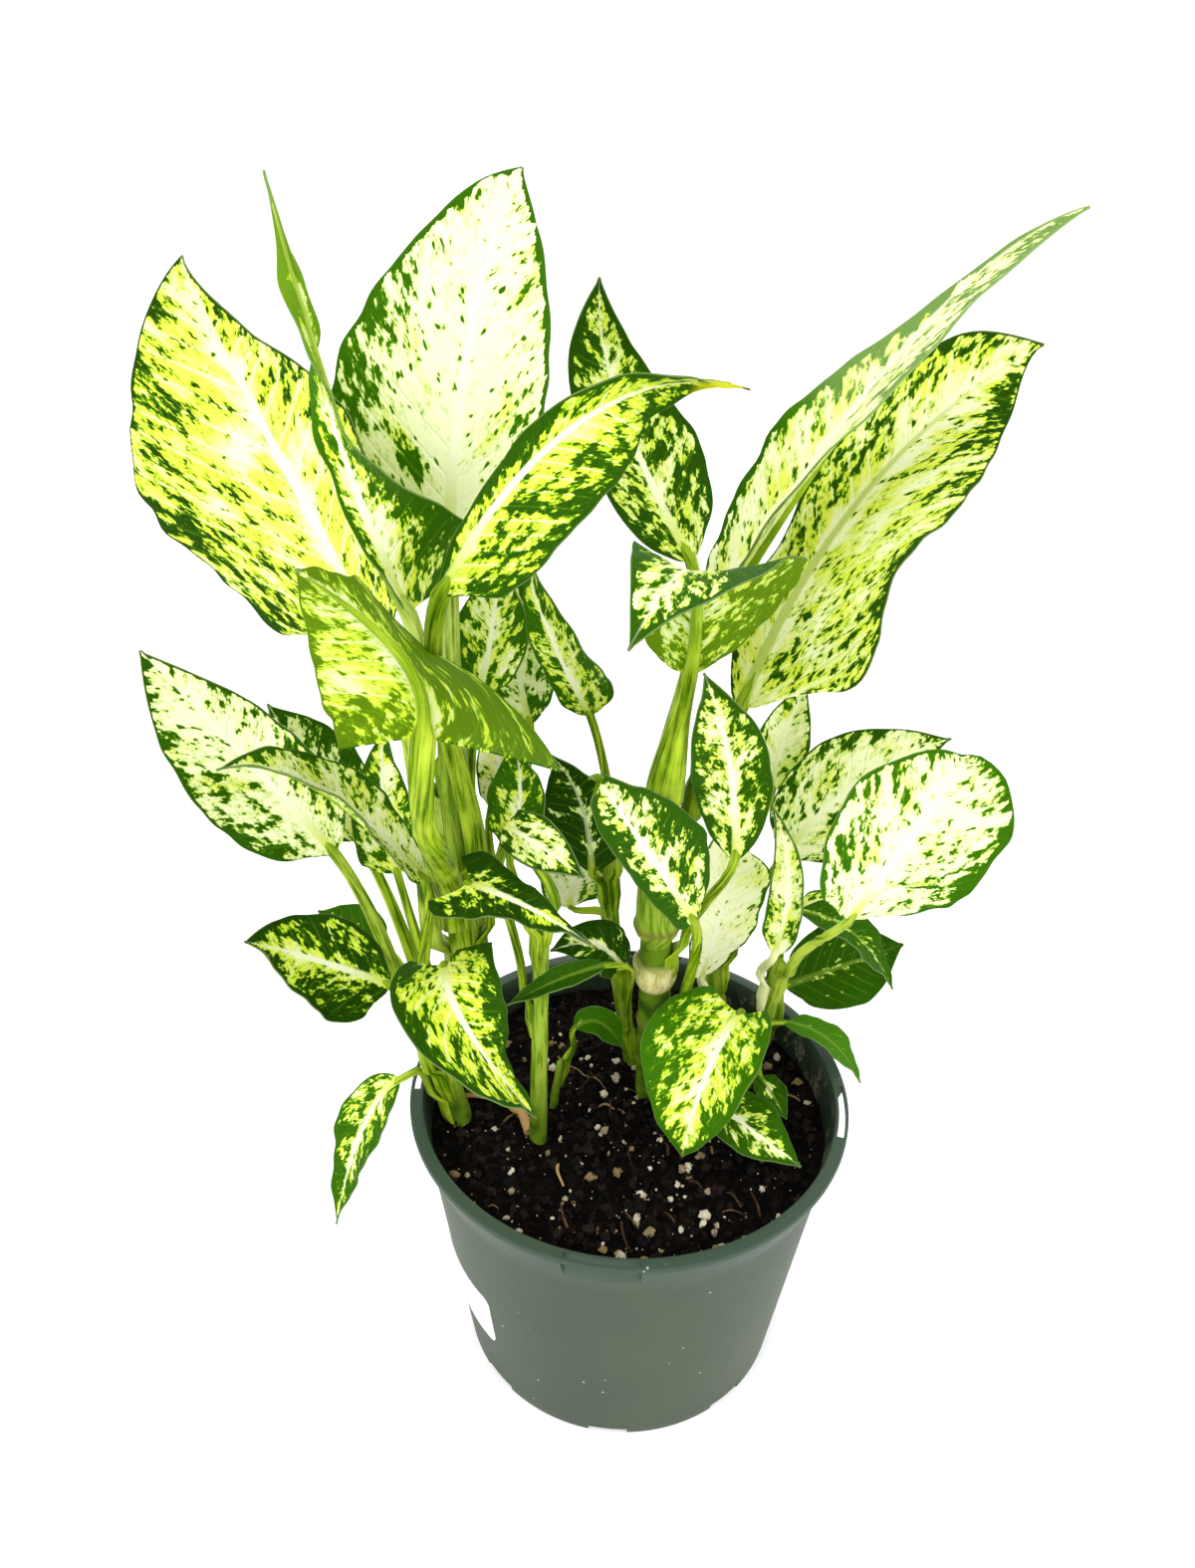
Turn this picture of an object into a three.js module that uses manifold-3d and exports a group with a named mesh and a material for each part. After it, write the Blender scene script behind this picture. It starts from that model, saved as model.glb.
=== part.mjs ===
// A potted dieffenbachia: leaning canes with spotted leaves in a green nursery pot of soil.
// Millimetres, +Z up. The origin is the centre of the pot's foot, on the surface that it stands on.
import * as THREE from "three";
import { mergeVertices } from "three/addons/utils/BufferGeometryUtils.js";
import Module from "manifold-3d";

const wasm = await Module();
wasm.setup();

// Driving dimensions.
const pot = {
  height: 120.6,
  rimRadius: 82.5,
  mouthRadius: 77.6,
  bandFoot: 106,
  shoulderRadius: 76.7,
  baseRadius: 63.3,
  wall: 1.6,
  flange: 2,
  floorHeight: 4,
  footWidth: 5,
  bossRadius: 10,
  sides: 56,
};
const rimSlot = { count: 4, firstAngle: -97, halfAngle: 9.5, inner: 78.9, outer: 81.3 };
const drainNotch = { count: 8, firstAngle: -94.5, width: 15, height: 3 };
const soil = { top: 106, lump: 1.6, wallGap: 0.4, around: 36, rounds: 6 };
const label = { angle: 203, halfAngle: 21, low: 30, high: 58, thick: 0.4 };
const clearance = 0.35;
const blade = { margin: 0.8, centre: 1.2, rib: 1.6 };
const across = [-1, -0.5, 0, 0.5, 1];

const vector = (p) => new THREE.Vector3(...p);
const radians = THREE.MathUtils.degToRad;
const lerp = THREE.MathUtils.lerp;

// A closed mesh as a solid for joining and cutting, and back again.
function solidOf(geometry) {
  const bare = geometry.clone();
  bare.deleteAttribute("normal");
  bare.deleteAttribute("uv");
  const merged = mergeVertices(bare, 1e-4);
  return new wasm.Manifold(
    new wasm.Mesh({
      numProp: 3,
      vertProperties: merged.attributes.position.array,
      triVerts: new Uint32Array(merged.index.array),
    }),
  );
}

function geometryOf(solid) {
  const mesh = solid.getMesh();
  const geometry = new THREE.BufferGeometry();
  geometry.setAttribute("position", new THREE.BufferAttribute(mesh.vertProperties, 3));
  geometry.setIndex(new THREE.BufferAttribute(mesh.triVerts, 1));
  return geometry;
}

function lathe(profile, sides) {
  const points = profile.map(([r, z]) => new THREE.Vector2(r, z));
  return new THREE.LatheGeometry(points, sides).rotateX(Math.PI / 2);
}

// A block between two radii and two heights, round the pot's axis from one angle to another.
function ringBlock(inner, outer, low, high, from, to) {
  const shape = new THREE.Shape();
  shape.absarc(0, 0, outer, radians(from), radians(to), false);
  shape.absarc(0, 0, inner, radians(to), radians(from), true);
  shape.closePath();
  const block = new THREE.ExtrudeGeometry(shape, { depth: high - low, bevelEnabled: false, curveSegments: 6 });
  return block.translate(0, 0, low);
}

// A solid through rings that each have the same points on their upper and their under side.
function loft(rings) {
  const half = rings[0].top.length;
  const count = half * 2;
  const positions = [];
  for (const ring of rings) {
    const outline = [...ring.top, ...ring.under.slice().reverse()];
    outline.forEach((p) => positions.push(p.x, p.y, p.z));
  }
  const index = [];
  for (let i = 0; i + 1 < rings.length; i++) {
    for (let j = 0; j < count; j++) {
      const a = i * count + j;
      const b = i * count + ((j + 1) % count);
      const c = b + count;
      const d = a + count;
      // Both sides of a thin blade are split along the same diagonal.
      if (j < half) index.push(a, b, d, b, c, d);
      else index.push(a, b, c, a, c, d);
    }
  }
  const last = (rings.length - 1) * count;
  for (let j = 0; j + 1 < half; j++) {
    const k = count - 1 - j;
    index.push(j, k, j + 1, j + 1, k, k - 1);
    index.push(last + j, last + j + 1, last + k, last + j + 1, last + k - 1, last + k);
  }
  const geometry = new THREE.BufferGeometry();
  geometry.setAttribute("position", new THREE.Float32BufferAttribute(positions, 3));
  geometry.setIndex(index);
  return geometry;
}

function makePot() {
  const { height, rimRadius, mouthRadius, bandFoot, shoulderRadius, baseRadius, wall } = pot;
  const wallInside = (z) => lerp(baseRadius, shoulderRadius, z / bandFoot) - wall;
  const foot = baseRadius - pot.footWidth;
  const body = lathe(
    [
      [0, 0],
      [pot.bossRadius, 0],
      [pot.bossRadius + 1, pot.floorHeight - 1.6],
      [foot - 1, pot.floorHeight - 1.6],
      [foot, 0],
      [baseRadius - 0.6, 0],
      [baseRadius, 0.6],
      [shoulderRadius, bandFoot - 1],
      [shoulderRadius + 1, bandFoot],
      [rimRadius - 0.3, height - 2.6],
      [rimRadius, height - 2],
      [rimRadius, height - 0.4],
      [rimRadius - 0.4, height],
      [mouthRadius + 0.4, height],
      [mouthRadius, height - 0.4],
      [wallInside(bandFoot), bandFoot],
      [wallInside(pot.floorHeight), pot.floorHeight + 0.4],
      [wallInside(pot.floorHeight) - 2, pot.floorHeight],
      [0, pot.floorHeight],
    ],
    pot.sides,
  );
  let made = solidOf(body);
  for (let i = 0; i < rimSlot.count; i++) {
    const middle = rimSlot.firstAngle + (i * 360) / rimSlot.count;
    const from = middle - rimSlot.halfAngle;
    const to = middle + rimSlot.halfAngle;
    const under = height - pot.flange;
    made = made.subtract(solidOf(ringBlock(rimSlot.inner, rimSlot.outer, under - 4, height + 1, from, to)));
    made = made.subtract(solidOf(ringBlock(rimSlot.inner, rimRadius + 2, bandFoot + 1.5, under, from, to)));
  }
  for (let i = 0; i < drainNotch.count; i++) {
    const notch = new THREE.BoxGeometry(14, drainNotch.width, drainNotch.height * 2);
    notch.translate(baseRadius, 0, 0);
    notch.rotateZ(radians(drainNotch.firstAngle + (i * 360) / drainNotch.count));
    made = made.subtract(solidOf(notch));
  }
  return geometryOf(made);
}

// How high the soil stands at a place: a low mound at the canes, with lumps.
function soilHeight(x, y) {
  const reach = Math.hypot(x, y) / mouthInside(soil.top);
  const lumps = Math.sin(x * 0.21 + 1.3) * Math.cos(y * 0.26) + 0.6 * Math.sin(x * 0.47 - y * 0.39);
  return soil.top + 1.5 * (1 - reach * reach) + soil.lump * lumps * (1 - 0.6 * reach);
}

function mouthInside(z) {
  return lerp(pot.baseRadius, pot.shoulderRadius, z / pot.bandFoot) - pot.wall - soil.wallGap;
}

function makeSoil() {
  const low = pot.floorHeight + 0.8;
  const profile = [[0, low]];
  profile.push([mouthInside(low) - 3, low], [mouthInside(low + 2), low + 2], [mouthInside(soil.top), soil.top]);
  for (let i = soil.rounds - 1; i >= 0; i--) profile.push([(mouthInside(soil.top) * i) / soil.rounds, soil.top]);
  const body = lathe(profile, soil.around);
  const place = body.attributes.position;
  for (let i = 0; i < place.count; i++) {
    const x = place.getX(i);
    const y = place.getY(i);
    if (place.getZ(i) > soil.top - 0.01) place.setZ(i, soilHeight(x, y));
  }
  let made = solidOf(body);
  for (const cane of Object.values(canes)) {
    const wide = cane.radius + clearance;
    made = made.subtract(solidOf(tube(cane.path, wide, wide, 10, 3, heightOn(caneCurve(cane), soil.top + 9))));
  }
  return geometryOf(made);
}

// A plain blank sticker that follows the pot's wall.
function makeLabel() {
  const radiusAt = (z) => lerp(pot.baseRadius, pot.shoulderRadius, z / (pot.bandFoot - 1)) + clearance;
  const rings = [];
  const steps = 10;
  const corner = 2.5;
  for (let i = 0; i <= steps; i++) {
    const turn = radians(label.angle + lerp(-label.halfAngle, label.halfAngle, i / steps));
    const inset = i === 0 || i === steps ? corner : 0;
    const heights = [label.low + inset, label.high - inset];
    const at = (z, more) => {
      const r = radiusAt(z) + more;
      return new THREE.Vector3(Math.cos(turn) * r, Math.sin(turn) * r, z);
    };
    rings.push({ top: heights.map((z) => at(z, 0)), under: heights.map((z) => at(z, label.thick)) });
  }
  return loft(rings);
}

function caneCurve(cane) {
  return new THREE.CatmullRomCurve3(cane.path.map(vector));
}

// How far along a rising curve, from 0 to 1, a height is met.
function heightOn(curve, z) {
  const steps = 80;
  for (let i = 0; i <= steps; i++) if (curve.getPointAt(i / steps).z >= z) return i / steps;
  return 1;
}

// Rings of a plain round stem along a path, wider by its swelling at each of its nodes.
function tube(path, startRadius, endRadius, sides, steps, until = 1, nodes = []) {
  const curve = new THREE.CatmullRomCurve3(path.map(vector));
  const half = sides / 2;
  const stops = [];
  for (let i = 0; i <= steps; i++) stops.push([(until * i) / steps, 0]);
  for (const at of nodes) stops.push([at - 0.012, 0], [at, 0.9], [at + 0.012, 0]);
  stops.sort((a, b) => a[0] - b[0]);
  const rings = stops.map(([at, swelling]) => {
    const middle = curve.getPointAt(at);
    const along = curve.getTangentAt(at);
    const side = new THREE.Vector3(0, 1, 0).cross(along).normalize();
    const up = side.clone().cross(along);
    const radius = lerp(startRadius, endRadius, at) + swelling;
    const spot = (turn) =>
      middle
        .clone()
        .addScaledVector(side, radius * Math.cos(turn))
        .addScaledVector(up, radius * Math.sin(turn));
    const turns = Array.from({ length: half }, (_, i) => Math.PI - (Math.PI / half) * (i + 0.5));
    return { top: turns.map(spot), under: turns.map((turn) => spot(-turn)) };
  });
  return loft(rings);
}

// Each cane: its path from under the soil to its top, and its radius at foot and top.
const canes = {
  left: { path: [[-54, 14, 76], [-57, 13, 106], [-61, 11, 173], [-64, 8, 244], [-65, 6, 262]], radius: 7.5, top: 4 },
  left_low: { path: [[-60, -2, 76], [-65, -4, 113], [-74, -6, 155], [-77, -6, 171]], radius: 5, top: 3 },
  front: { path: [[-35, -13, 76], [-34, -14, 106], [-33, -16, 160], [-32, -16, 215]], radius: 3.6, top: 2.4 },
  middle: { path: [[6, 28, 76], [2, 27, 106], [-6, 24, 161], [-10, 22, 208]], radius: 3.4, top: 2.4 },
  right: { path: [[12, 13, 76], [10, 13, 107], [8, 11, 172], [8, 8, 246], [10, 8, 268]], radius: 8, top: 4 },
  sprout: { path: [[-30, 2, 76], [-29, 2, 106], [-26, 2, 132]], radius: 1.8, top: 1.4 },
  front_right: { path: [[44, 14, 76], [45, 14, 106], [46, 12, 136]], radius: 3.2, top: 2.4 },
  back: { path: [[44, 48, 76], [40, 46, 106], [34, 42, 138], [31, 38, 182]], radius: 4.4, top: 3 },
  far_right: { path: [[48, 36, 76], [51, 35, 106], [54, 32, 130], [57, 29, 160]], radius: 4.4, top: 3 },
};
const ringScars = { right: [0.36, 0.47, 0.6] };

// Each leaf: the cane that bears it, how high its sheath sits (mm) and which way it faces (degrees),
// its midrib from blade base to tip, the way its upper face looks at base and tip, and its width.
// fold lifts both halves and curl lifts the margins more, and twist turns the tip (degrees). open is
// how much of the fold is gone at the tip. lobe is how far the base reaches back past the stalk, wave
// how far the margin ripples (mm), and nip a narrower place: where it is, how much, and over what
// length. left and right hold what differs in one half.
const leaves = {
  // The tall shoot on the left.
  leaf_far_left: {
    cane: "left", at: 168, turn: 190, stalk: 3.2,
    rib: [[-85, 20, 292], [-120, 31, 364], [-135, 22, 409]],
    face: [-0.67, -0.74, -0.02], faceTip: [-0.13, -0.93, 0.34],
    width: 90, skew: -0.23, fold: 6, curl: 3, wave: 1.5,
    right: { widest: 0.47, root: 0.38, blunt: 1.73, taper: 1.66 },
    left: { widest: 0.56, root: 0.62, blunt: 1.18, taper: 0.92, fold: 0 },
  },
  leaf_left_spear: {
    cane: "left", at: 236, turn: 185, stalk: 2.8,
    rib: [[-73, 1, 313], [-87, -1, 358], [-102, -4, 435]],
    face: [0.95, -0.19, 0.25], faceTip: [0.8, -0.56, 0.22],
    width: 36, skew: 0.59, fold: 30, curl: 6, wave: 2.2, lobe: 3, twist: -244, open: 1.2,
    right: { widest: 0.16, root: 0.61, blunt: 0.9, taper: 1.52, fold: 23 },
    left: { widest: 0.53, root: 0.1, blunt: 0.92, taper: 1.39 },
  },
  leaf_top_centre: {
    cane: "left", at: 222, turn: 88, stalk: 3.2,
    rib: [[-64, 31, 320], [-56, 41, 387], [-43, 72, 429]],
    face: [-0.37, -0.92, 0.15], faceTip: [0.07, -0.99, 0.13],
    width: 68, skew: -0.17, fold: 8, curl: 4, wave: 1.5,
    right: { widest: 0.39, root: 0.17, blunt: 1.85, taper: 0.99 },
    left: { widest: 0.36, root: 0.26, blunt: 1.35, taper: 0.92 },
  },
  leaf_yellow_tip: {
    cane: "left", at: 205, turn: -35, stalk: 2.8,
    rib: [[-61, -16, 327], [-20, -14, 378], [25, 7, 381]],
    face: [-0.68, -0.68, -0.26], faceTip: [-0.64, -0.61, -0.47],
    width: 32, skew: 0.5, fold: 12, curl: 6, wave: 1.5,
    right: { widest: 0.28, root: 0.1, blunt: 1.94, taper: 1.57 },
    left: { widest: 0.65, root: 0.2, blunt: 1.91, taper: 1.35 },
  },
  leaf_front_hood: {
    cane: "left", at: 182, turn: 262, stalk: 3.2,
    rib: [[-62, -55, 302], [-68, -46, 321], [-89, -66, 354]],
    face: [0.15, 0.4, -0.9], faceTip: [-0.39, 0.74, 0.55],
    width: 66, skew: -0.18, fold: 17, curl: 8, wave: 1.5, lobe: 2,
    right: { widest: 0.19, root: 0.91, blunt: 1.66, taper: 1.05, fold: 10 },
    left: { widest: 0.12, root: 0.98, blunt: 0.91, taper: 1.03, fold: 69 },
  },
  leaf_mid_back: {
    cane: "left", at: 150, turn: 62, stalk: 2.4,
    rib: [[-56, 32, 270], [-52, 38, 288], [-48, 40, 316]],
    face: [0, -0.9, 0.3], width: 26, fold: 10, curl: 4, wave: 0.8,
  },
  leaf_mid_pale: {
    cane: "left", at: 172, turn: 5, stalk: 2.2,
    rib: [[-40, 54, 247], [-45, 58, 281], [-42, 58, 314]],
    face: [-0.18, -0.95, 0.26], width: 30, fold: 8, curl: 4, wave: 1,
  },

  // The low shoot on the left.
  leaf_low_left: {
    cane: "left_low", at: 152, turn: 156, stalk: 2.6,
    rib: [[-102, -4, 228], [-127, -8, 268], [-151, -14, 306]],
    face: [0.11, -0.68, 0.72], faceTip: [-0.16, -0.66, 0.74],
    width: 41, skew: -0.19, fold: 10, curl: 5, wave: 1.3,
    right: { widest: 0.36, root: 0.42, blunt: 2.25, taper: 1.24 },
    left: { width: 37, widest: 0.38, root: 0.12, blunt: 2.3, taper: 1 },
  },
  leaf_low_left_behind: {
    cane: "left_low", at: 136, turn: 85, stalk: 2.4,
    rib: [[-100, 24, 215], [-116, 30, 238], [-127, 27, 267]],
    face: [0.4, -0.5, 0.77], width: 37, fold: 8, curl: 4, wave: 1,
  },
  leaf_arching: {
    cane: "left_low", at: 156, turn: 305, stalk: 2.2,
    rib: [[-71, -16, 227], [-97, -38, 275], [-115, -68, 298]],
    face: [-0.1, -0.38, 0.92], faceTip: [0.2, -0.37, 0.9], width: 22, fold: 22, curl: 10, wave: 1,
  },
  leaf_corner: {
    cane: "left_low", at: 156, turn: 55, stalk: 2,
    rib: [[-85, 15, 207], [-88, 15, 240], [-85, 15, 267]],
    face: [0, -0.95, 0.33], width: 24, fold: 10, curl: 4, wave: 1, widest: 0.25, root: 0.8,
  },
  leaf_spotted_left: {
    cane: "left_low", at: 126, turn: 245, stalk: 2.2,
    rib: [[-85, -14, 180], [-111, -23, 199], [-124, -41, 219]],
    face: [0.18, -0.5, 0.86], width: 37, skew: -0.12, widest: 0.35, root: 0.34, fold: 8, curl: 5, wave: 1.2,
  },
  leaf_behind_spotted: {
    cane: "left_low", at: 116, turn: 122, stalk: 2,
    rib: [[-93, 24, 165], [-106, 29, 169], [-120, 35, 174]],
    face: [0.16, -0.74, 0.65], width: 23, fold: 8, curl: 4, wave: 0.8,
  },
  leaf_heart_left: {
    cane: "left_low", at: 134, turn: 330, stalk: 2.2,
    rib: [[-63, -33, 205], [-53, -60, 202], [-32, -60, 165]],
    face: [-0.23, 0.09, 0.97], faceTip: [0.18, -0.09, 0.98],
    width: 36, skew: 0.06, fold: 6, curl: 6, wave: 1.2, lobe: 10,
    right: { widest: 0.37, root: 0.59, blunt: 1.87, taper: 1.33 },
    left: { widest: 0.05, root: 0.25, blunt: 2.17, taper: 0.96 },
  },
  leaf_over_rim: {
    cane: "left_low", at: 110, turn: 200, stalk: 1.8, rise: 0.9,
    rib: [[-84, -17, 138], [-98, -20, 116], [-109, -31, 77]],
    face: [-0.55, -0.68, 0.5], faceTip: [-0.68, -0.6, 0.45],
    width: 22, widest: 0.35, fold: 10, curl: 6, wave: 1,
  },

  // The slim shoot at the front.
  leaf_drooping: {
    cane: "front", at: 196, turn: 230, stalk: 2,
    rib: [[-54, -36, 240], [-34, -48, 240], [-14, -60, 235]],
    face: [0.1, -0.4, 0.9], width: 27, skew: 0.12, widest: 0.08, root: 0.7, blunt: 1, taper: 1.3, lobe: 8,
    fold: 4, curl: 5, wave: 1.5,
  },
  leaf_small_folded: {
    cane: "front", at: 207, turn: 320, stalk: 1.8,
    rib: [[-43, -26, 255], [-31, -36, 254], [-18, -44, 249]],
    face: [-0.15, -0.7, 0.69], width: 19, fold: 26, curl: 10, wave: 1,
  },
  leaf_small_upright: {
    cane: "front", at: 180, turn: 100, stalk: 1.8,
    rib: [[-44, 2, 227], [-40, 2, 248], [-42, 2, 271]],
    face: [-0.34, -0.9, 0.28], width: 22, root: 0.6, fold: 12, curl: 6, wave: 1,
  },
  leaf_small_pale: {
    cane: "front", at: 166, turn: 170, stalk: 1.7,
    rib: [[-51, 14, 236], [-48, 14, 252], [-53, 14, 271]],
    face: [0, -0.9, 0.3], width: 16, fold: 16, curl: 6, wave: 0.8,
  },
  leaf_thin: {
    cane: "middle", at: 118, turn: 290, stalk: 1.4,
    rib: [[-11, -20, 196], [-26, -27, 195], [-43, -31, 187]],
    face: [-0.2, -0.5, 0.8], width: 9, fold: 16, curl: 6, wave: 0.6,
  },
  leaf_sprout: {
    cane: "sprout", at: 124, turn: 20, stalk: 1.3,
    rib: [[-21, 2, 148], [-12, 4, 149], [-3, 6, 135]],
    face: [0, -0.6, 0.8], width: 12, fold: 16, curl: 6, wave: 0.6,
  },

  // The slim shoot in the middle.
  leaf_dark_upright: {
    cane: "middle", at: 190, turn: 200, stalk: 2,
    rib: [[-16, 13, 211], [-20, 13, 239], [-30, 4, 263]],
    face: [-0.26, -0.85, 0.46], width: 28, fold: 10, curl: 5, wave: 1,
  },
  leaf_pale_back: {
    cane: "middle", at: 166, turn: 120, stalk: 1.6,
    rib: [[-24, 32, 181], [-20, 31, 201], [-5, 32, 222]],
    face: [0.07, -0.84, 0.54], width: 28, fold: 8, curl: 4, wave: 1,
  },
  leaf_dark_small: {
    cane: "middle", at: 150, turn: 300, stalk: 1.6,
    rib: [[-4, 8, 172], [-15, 2, 187], [-30, -2, 187]],
    face: [0, -0.6, 0.8], width: 20, fold: 8, curl: 4, wave: 1,
  },
  leaf_mid_centre: {
    cane: "middle", at: 194, turn: 300, stalk: 2,
    rib: [[-18, 27, 266], [-34, 19, 307], [-36, 36, 314]],
    face: [-0.24, -0.91, 0.34], faceTip: [-0.67, -0.64, 0.38],
    width: 24, skew: 0.37, fold: 12, curl: 6, wave: 1.2,
    right: { widest: 0.39, root: 0.34, blunt: 0.9, taper: 1.08 },
    left: { widest: 0.31, root: 0.51, blunt: 2.42, taper: 1.09 },
  },

  // The thick cane on the right.
  leaf_folded_right: {
    cane: "right", at: 236, turn: 262, stalk: 3.4,
    rib: [[13, 0, 296], [9, -32, 342], [-8, -67, 335]],
    face: [0, 0.3, 1], faceTip: [0, -0.5, 0.8],
    width: 46, skew: -0.15, widest: 0.45, root: 0.5, fold: 10, curl: 8, wave: 1.5,
    left: { width: 52, widest: 0.5, root: 0.2, blunt: 1.4, taper: 1.2 },
  },
  leaf_big_right: {
    cane: "right", at: 222, turn: 24, stalk: 3.4,
    rib: [[31, 11, 279], [68, 38, 342], [118, 49, 386]],
    face: [-0.55, -0.53, 0.64], faceTip: [-0.77, -0.26, -0.58],
    width: 67, skew: 0.38, fold: 10, curl: 4, wave: 1.6, nip: [0.42, 0.14, 0.14],
    right: { widest: 0.24, root: 0.21, blunt: 3.5, taper: 1.7 },
    left: { widest: 0.62, root: 0.26, blunt: 3.5, taper: 0.92 },
  },
  leaf_long_right: {
    cane: "right", at: 238, turn: 78, stalk: 3.2, wrap: 26,
    rib: [[16, 19, 296], [67, 14, 390], [109, 6, 430]],
    face: [-0.83, -0.04, 0.55], faceTip: [-0.69, -0.61, 0.39],
    width: 46, skew: 0.18, fold: 26, curl: 6, wave: 1.2,
    right: { widest: 0.28, root: 0.3, blunt: 3.5, taper: 1.1 },
    left: { widest: 0.4, root: 0.31, blunt: 1.04, taper: 1.94 },
  },
  leaf_back_right: {
    cane: "right", at: 204, turn: 122, stalk: 3,
    rib: [[15, 56, 311], [-11, 77, 358], [-18, 68, 398]],
    face: [0.01, -0.91, 0.42], faceTip: [0.06, -0.91, 0.41],
    width: 37, skew: 0.11, fold: 10, curl: 5, wave: 1.2,
    right: { widest: 0.35, root: 0.3, blunt: 1.22, taper: 0.93 },
    left: { widest: 0.36, root: 0.32, blunt: 3.48, taper: 1.22 },
  },

  // Two more leaves of the thick cane, then those of the slim cane behind it.
  leaf_right_upright: {
    cane: "right", at: 168, turn: -14, stalk: 2.2,
    rib: [[33, 7, 222], [28, 3, 262], [16, -14, 303]],
    face: [-0.1, -0.87, 0.48], width: 27, widest: 0.45, root: 0.22, fold: 10, curl: 5, wave: 1,
  },
  leaf_centre_right: {
    cane: "right", at: 132, turn: -25, stalk: 2.4,
    rib: [[19, -8, 206], [-7, -21, 257], [-17, -37, 280]],
    face: [0.14, -0.64, 0.76], faceTip: [-0.31, -0.62, 0.72],
    width: 29, skew: 0.3, fold: 8, curl: 5, wave: 1.2,
    right: { widest: 0.35, root: 0.32, blunt: 1.74, taper: 1.29 },
    left: { widest: 0.53, root: 0.62, blunt: 2.35, taper: 1.25 },
  },
  leaf_white_stalk: {
    cane: "back", at: 124, turn: 240, stalk: 2.2,
    rib: [[27, 28, 152], [33, 26, 193], [37, 42, 205]],
    face: [0.38, -0.74, 0.56], width: 30, widest: 0.7, root: 0.25, fold: 14, curl: 6, wave: 1, blunt: 3.5, taper: 1,
  },
  leaf_behind_right: {
    cane: "back", at: 160, turn: 60, stalk: 2.2,
    rib: [[53, 69, 212], [56, 73, 234], [63, 75, 256]],
    face: [0, -0.9, 0.4], width: 21, fold: 10, curl: 4, wave: 1,
  },
  leaf_far_right_back: {
    cane: "back", at: 138, turn: 0, stalk: 2.2,
    rib: [[57, 50, 194], [83, 54, 226], [114, 54, 245]],
    face: [-0.19, -0.78, 0.6], width: 41, fold: 8, curl: 5, wave: 1,
  },

  // The slim cane at the far right.
  leaf_rolled: {
    cane: "far_right", at: 138, turn: 190, stalk: 2,
    rib: [[52.5, 18, 172], [54, 18, 208], [44, 11, 242]],
    face: [-0.37, -0.87, 0.34], faceTip: [-0.1, -0.93, 0.36], width: 17, widest: 0.3, fold: 26, curl: 14, wave: 1,
  },
  leaf_round_right: {
    cane: "far_right", at: 146, turn: 290, stalk: 2.2,
    rib: [[75, 4, 200], [94, 1, 246], [109, 18, 259]],
    face: [0.26, -0.94, 0.22], faceTip: [-0.47, -0.85, 0.24],
    width: 54, skew: -0.01, fold: 8, curl: 5, wave: 1.4,
    right: { widest: 0.58, root: 0.34, blunt: 3.27, taper: 0.93 },
    left: { widest: 0.54, root: 0.3, blunt: 1.78, taper: 1.24 },
  },
  leaf_dark_right: {
    cane: "far_right", at: 112, turn: 22, stalk: 1.8,
    rib: [[64, 50, 130], [87, 56, 136], [112, 60, 145]],
    face: [-0.13, -0.66, 0.74], width: 37, widest: 0.5, root: 0.26, fold: 10, curl: 5, wave: 1.4,
  },
  leaf_drooping_right: {
    cane: "far_right", at: 126, turn: 80, stalk: 1.6,
    rib: [[65, 42, 174], [86, 38, 166], [103, 34, 143]],
    face: [0.18, -0.25, 0.95], width: 18, fold: 10, curl: 6, wave: 1,
  },
  leaf_curled_yellow: {
    cane: "far_right", at: 152, turn: 110, stalk: 1.4,
    rib: [[68, 60, 163], [79, 62, 161], [88, 62, 153]],
    face: [0, -0.7, 0.7], width: 15, fold: 20, curl: 10, wave: 1,
  },

  // The short cane at the front right.
  leaf_heart_front: {
    cane: "front_right", at: 128, turn: 200, stalk: 1.8,
    rib: [[38, -4, 162], [25, -30, 156], [18, -40, 127]],
    face: [-0.16, -0.5, 0.85], faceTip: [-0.12, -0.51, 0.85],
    width: 42, skew: 0.22, fold: 6, curl: 6, wave: 1.4, lobe: 8,
    right: { widest: 0.41, root: 0.54, blunt: 1.48, taper: 1.11 },
    left: { widest: 0.34, root: 0.5, blunt: 2.29, taper: 1.11 },
  },
  leaf_low_front: {
    cane: "front_right", at: 112, turn: 240, stalk: 1.5,
    rib: [[28, -10, 127], [44, -25, 125], [61, -36, 119]],
    face: [0.09, -0.27, 0.96], width: 25, fold: 8, curl: 5, wave: 0.8,
  },
  leaf_low_front_behind: {
    cane: "front_right", at: 116, turn: 320, stalk: 1.3,
    rib: [[49, 0, 128], [53, -8, 126], [58, -15, 121]],
    face: [0, -0.3, 0.95], width: 12, fold: 8, curl: 5, wave: 0.8,
  },
  leaf_grey_rim: {
    cane: "front_right", at: 120, turn: 40, stalk: 1.5,
    rib: [[62, 30, 128], [78, 20, 128], [91, 14, 112]],
    face: [0.23, -0.17, 0.96], width: 14, fold: 10, curl: 6, wave: 0.8,
  },
};

// The midrib is one even bend through its middle point.
function ribCurve(leaf) {
  const [base, middle, tip] = leaf.rib.map(vector);
  const control = middle.clone().multiplyScalar(2).addScaledVector(base, -0.5).addScaledVector(tip, -0.5);
  return new THREE.QuadraticBezierCurve3(base, control, tip);
}

// The values of one half of a blade, on its right (s above 0) or on its left.
function halfOf(leaf, s) {
  return { ...leaf, ...(s > 0 ? leaf.right : leaf.left) };
}

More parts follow.
